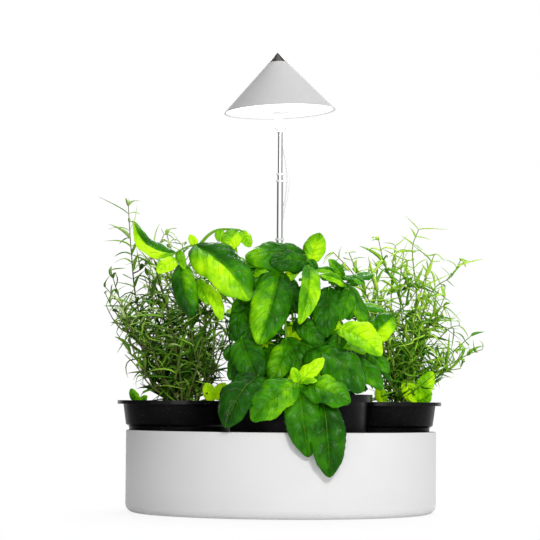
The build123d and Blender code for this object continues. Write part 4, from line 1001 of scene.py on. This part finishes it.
def seedlings(name, table, middle, body, slot, leaf_skin, stem_skin):
    """A side pot's seed leaves and their stems."""
    leaves, stems = Sheets(), Sheets()
    grow(table, middle, leaves, stems)
    thicken(leaves.make(name + "_leaves", leaf_skin, body, slot))
    stems.make(name + "_stems", stem_skin, body, slot)


# Soil: a lumpy cap on each pot's medium, and loose crumbs on it

CAP_RINGS, CAP_SPOKES, CAP_WAVES = 40, 96, 14
DOME, LIFT, LOWEST, TUCK = 2.2 * MM, 1.2 * MM, 0.3 * MM, 0.6 * MM
HOLE_FLAT, HOLE_CUT, HOLE_SUNK, HOLE_EDGE = 8 * MM, 8.5 * MM, 9 * MM, 12 * MM
SINK = -0.4 * MM
NO_HOLE = (9.0, 9.0)
CRUMBS = 420


def soil(name, middle, radius, body, skin, hole=NO_HOLE):
    """A disc in rings, r = R s, whose height is a dome and a sum of turned waves, tucked in at its edge
    and open round the stake's hole."""
    s = np.linspace(0, 1, CAP_RINGS)[:, None]
    a = circle(CAP_SPOKES)[None]
    x, y = radius * s * np.cos(a), radius * s * np.sin(a)
    height = DOME * (1 - s ** 2) + 0 * a
    for k in range(CAP_WAVES):
        turn, wave = rng.uniform(0, 2 * math.pi), rng.uniform(90, 520)
        height = height + 0.16 / (wave + 60) * np.sin(
            wave * (x * math.cos(turn) + y * math.sin(turn)) + 7 * k)
    height = np.maximum(height + LIFT, LOWEST) * smooth(1.0, 0.93, s) - TUCK * smooth(0.97, 1.0, s)
    away = np.hypot(x + middle[0] - hole[0], y + middle[1] - hole[1])
    height = height * smooth(HOLE_FLAT, HOLE_EDGE, away) + (away < HOLE_SUNK) * SINK
    cap = Sheets()
    cap.add(np.stack([middle[0] + x, middle[1] + y, middle[2] + height], -1)[None], wrap=True)
    inside = (away < HOLE_CUT).reshape(-1)
    cap.faces = [face for face in cap.faces if not inside[face].all()]
    cap.make(name + "_top", skin, body, "growing_medium")
    crumbs(middle, radius, height, hole).make(name + "_crumbs", skin, body, "growing_medium", flat=True)


def crumbs(middle, radius, height, hole):
    """Small rough balls strewn on the cap, off the hole: each is rings of six random radii."""
    spread = radius * 0.95 * np.sqrt(rng.uniform(0, 1, CRUMBS))
    turn = rng.uniform(0, 2 * math.pi, CRUMBS)
    centre = np.stack([middle[0] + spread * np.cos(turn), middle[1] + spread * np.sin(turn)], -1)
    ring = ((CAP_RINGS - 1) * spread / radius).astype(int)
    spoke = (CAP_SPOKES * turn / (2 * math.pi)).astype(int) % CAP_SPOKES
    size = rng.uniform(0.7, 2.4, CRUMBS) * MM
    lat = np.array([0.15, 0.9, 1.6, 2.3, 3.0])[None, :, None]
    lon = circle(6)[None, None]
    lump = rng.uniform(0.7, 1.2, (CRUMBS, 5, 6)) * size[:, None, None]
    stretch = rng.uniform(0.6, 1.4, (CRUMBS, 2, 1, 1))
    level = (middle[2] + height[ring, spoke] + 0.3 * size)[:, None, None]
    ball = np.stack([centre[:, 0, None, None] + lump * np.sin(lat) * np.cos(lon) * stretch[:, 0],
                     centre[:, 1, None, None] + lump * np.sin(lat) * np.sin(lon) * stretch[:, 1],
                     level + lump * np.cos(lat) * 0.7], -1)
    ball = ball[away_from(hole, centre) > HOLE_EDGE]
    sheets = Sheets()
    sheets.add(ball[:, ::-1], rng.uniform(0, 1, (len(ball), 1, 1)), wrap=True, capped=True)
    return sheets


# Stage: floor, world, lamps and cards

PAPER_FADE = (0.16, 0.42)       # from where to where the paper fades into white
LAMPS = [("key", (0.35, -1.9, 0.8), 0.3, 16.0), ("fill", (-0.05, -2.1, 0.5), 1.0, 7.5),
         ("side", (1.7, -0.6, 1.0), 1.0, 6.0), ("rear", (0.0, 1.3, 1.2), 1.0, 20.0),
         ("top", (0.1, 0.1, 1.8), 0.8, 11.0)]
AIM = vec(0, 0, 0.15)
CARDS = [("flag_left", -0.30, (-0.38, 0.4), (0.035, 0.9), 0.0),
         ("card_left", -0.7, (-0.5, 0.5), (0.0, 0.7), 0.08),
         ("card_right", 0.7, (-0.5, 0.5), (0.0, 0.7), 0.38)]


def plane(name, skin, x, y, z):
    """A flat sheet across two of x, y and z, at the third."""
    sheet = Sheets()
    sheet.add(np.stack(np.broadcast_arrays(x, y, z), -1)[None])
    return sheet.make(name, skin)


def floor():
    """Pale paper, which the camera sees fade into plain white away from the bowl."""
    paper = Surface("paper_floor", Roughness=0.9, Emission_Color=WHITE, Emission_Strength=0.12)
    paper.set("Base Color", paper.mix(paper.noise(3.0), grey(0.80), grey(0.82)))
    away = paper.add("VectorMath", {"operation": "LENGTH"}, {0: paper.spot()}, "Value")
    white = away.step(*PAPER_FADE) * 0.16 + 0.84
    paper.show(paper.add("MixShader", {}, {
        0: paper.add("LightPath", {}, {}, "Is Camera Ray") * white,
        1: Value(paper, paper.shader.outputs[0]),
        2: paper.add("Emission", {}, {"Color": WHITE, "Strength": 1.0})}))
    x = np.linspace(-3, 3, 9)
    plane("floor", paper, x[None, :], x[:, None], -0.2 * MM)


def world():
    """Even, dim light, and plain white for what the camera, gloss and glass see."""
    studio = bpy.data.worlds.new("studio")
    bpy.context.scene.world = studio
    nodes = Nodes(studio, "World")
    seen, gloss, glass = (nodes.add("LightPath", {}, {}, ray)
                          for ray in ("Is Camera Ray", "Is Glossy Ray", "Is Transmission Ray"))
    plain, bright = (nodes.add("Background", {}, {"Color": WHITE, "Strength": strength})
                     for strength in (0.23, 1.0))
    nodes.show(nodes.add("MixShader", {}, {
        0: seen.math("MAXIMUM", gloss).math("MAXIMUM", glass), 1: plain, 2: bright}))


def lamps():
    """Square lamps of a place, size and power, which face AIM, amid the leaves."""
    for name, place, size, power in LAMPS:
        data = bpy.data.lights.new(name, "AREA")
        data.size, data.energy = size, power
        lamp = linked(name, data)
        lamp.location = place
        aim = AIM - vec(*place)
        lamp.rotation_euler = (math.acos(-aim[2] / np.linalg.norm(aim)), 0,
                               math.atan2(aim[1], aim[0]) - math.pi / 2)


def cards():
    """A black flag that shades the left of the bowl, and two grey cards that only gloss mirrors, each at
    its x, between two y and two z, with its light."""
    for name, x, y, z, light in CARDS:
        card = plane(name, Surface(name, Base_Color=grey(0.02), Roughness=1.0, Emission_Strength=light,
                                   Emission_Color=WHITE), x, np.array(y)[:, None], np.array(z))
        card.visible_camera = False
        card.visible_glossy = name != "flag_left"
        card.visible_diffuse = card.visible_shadow = name == "flag_left"


# The parts in the order that they are made

def finishes():
    """Every CAD node's own finish."""
    dress("bowl", moulded("bowl_satin", grey(0.74), 0.5, 1500.0, 0.05 * MM, 0.03,
                          Specular_IOR_Level=0.35))
    dress("left_pot right_pot front_pot", pot_plastic())
    dress("left_soil right_soil front_soil", soil_skin())
    dress("shade", shade_paint())
    dress("shade_cap", moulded("cap_gloss", (0.022, 0.014, 0.014), 0.25, 600.0, Specular_IOR_Level=0.12))
    dress("outer_tube lower_tube middle_tube top_tube", polished("tube_metal", (0.80, 0.80, 0.82), 0.08))
    # painted glow: the white mouldings give off a faint light and the yoke more, standing for the lamp's
    # light on them
    pale = dict(Emission_Color=WHITE, Specular_IOR_Level=0.1)
    dress("outer_collar lower_ring middle_ring tilt_knuckle cable_grommet",
          moulded("white_moulding_glow", grey(0.82), 0.45, Emission_Strength=0.02, **pale))
    dress("shade_yoke", moulded("yoke_white_glow", grey(0.80), 0.45, Emission_Strength=0.22, **pale))
    dress("lower_bush middle_bush top_bush", moulded("nylon", (0.78, 0.77, 0.72), 0.5))
    dress("ground_stake", moulded("stake_grey", (0.24, 0.24, 0.25), 0.5))
    dress("hinge_pin centre_rod clamp_nut board_screws", polished("steel", (0.62, 0.62, 0.63), 0.25))
    dress("heat_sink", polished("cast_fins", (0.70, 0.70, 0.71), 0.35))
    dress("led_board", moulded("board_white", (0.80, 0.82, 0.80), 0.5))
    dress("led_chips", moulded("phosphor", (0.85, 0.70, 0.20), 0.3))
    dress("diffuser", glowing())
    dress("plug_body", moulded("plug_white", grey(0.80), 0.4))
    dress("plug_shell", polished("plug_steel", (0.66, 0.66, 0.68), 0.2))


def herbs():
    """The basil, the seed leaves, the rosemary and the tarragon, with greens from dark to pale."""
    leaf = basil_skin("basil_leaf", [
        (0.0, (0.003, 0.028, 0.001)), (0.3, (0.012, 0.105, 0.001)), (0.55, (0.045, 0.25, 0.001)),
        (0.8, (0.20, 0.53, 0.002)), (1.0, (0.42, 0.76, 0.004))])
    stem = blade_skin("basil_stem", [
        (0.0, (0.01, 0.07, 0.003)), (0.5, (0.16, 0.40, 0.02)), (0.8, (0.30, 0.60, 0.05))], 0.4)
    basil(leaf, stem)
    seedlings("left_seedling", LEFT_SEEDLINGS, LEFT, "left_plant", "rosemary", leaf, stem)
    seedlings("right_seedling", RIGHT_SEEDLINGS, RIGHT, "right_plant", "tarragon", leaf, stem)
    sprigs("rosemary", ROSEMARY, LEFT, "left_plant", (
        blade_skin("rosemary_leaf", [
            (0.0, (0.006, 0.028, 0.002)), (0.3, (0.030, 0.12, 0.006)), (0.6, (0.14, 0.34, 0.02)),
            (0.85, (0.34, 0.60, 0.06)), (1.0, (0.55, 0.72, 0.28))], 0.35),
        blade_skin("rosemary_stem", [(0.2, (0.07, 0.06, 0.02)), (0.8, (0.22, 0.28, 0.08))], 0.6)),
        dict(twigs=4, twig=(0.2, 0.42), rise=0.55, spread=0.8, stem=1.3, bare=0.1, turn=QUARTER_TURN,
             lift=0.95, top_lift=0.1, stray=0.2, bend=0.9, length=(20, 34), width=(2.6, 4.4), curl=0.30,
             twist=0.3, tone=(0.42, 0.95), room=side_room(LEFT, 0.037, -1, 44 * MM, 0.34)))
    sprigs("tarragon", TARRAGON, RIGHT, "right_plant", (
        blade_skin("tarragon_leaf", [
            (0.0, (0.004, 0.022, 0.002)), (0.3, (0.028, 0.12, 0.006)), (0.6, (0.12, 0.36, 0.015)),
            (0.85, (0.32, 0.62, 0.03)), (1.0, (0.50, 0.78, 0.08))], 0.35),
        blade_skin("tarragon_stem", [(0.2, (0.08, 0.12, 0.02)), (0.8, (0.26, 0.42, 0.06))], 0.5)),
        dict(twigs=2, twig=(0.15, 0.38), rise=0.35, spread=1.0, stem=1.1, bare=0.12, turn=2.2, lift=0.8,
             top_lift=0.0, stray=0.3, bend=0.8, length=(14, 27), width=(2.5, 4.6), curl=0.45, twist=0.5,
             tone=(0.55, 1.1), room=side_room(RIGHT, 0.036, 1, 40 * MM, 1.0)))


def soils():
    """The three pots' soil, the front one with a hole for the stake."""
    peat = soil_skin()
    soil("left_soil", LEFT, 53 * MM, "left_plant", peat)
    soil("right_soil", RIGHT, 53 * MM, "right_plant", peat)
    soil("front_soil", FRONT, 63 * MM, "front_plant", peat, HINGE[:2])


camera()
lead(moulded("lead_jacket", grey(0.80), 0.42))
finishes()
herbs()
soils()
floor()
world()
lamps()
cards()

bpy.context.scene.view_settings.view_transform = "Standard"
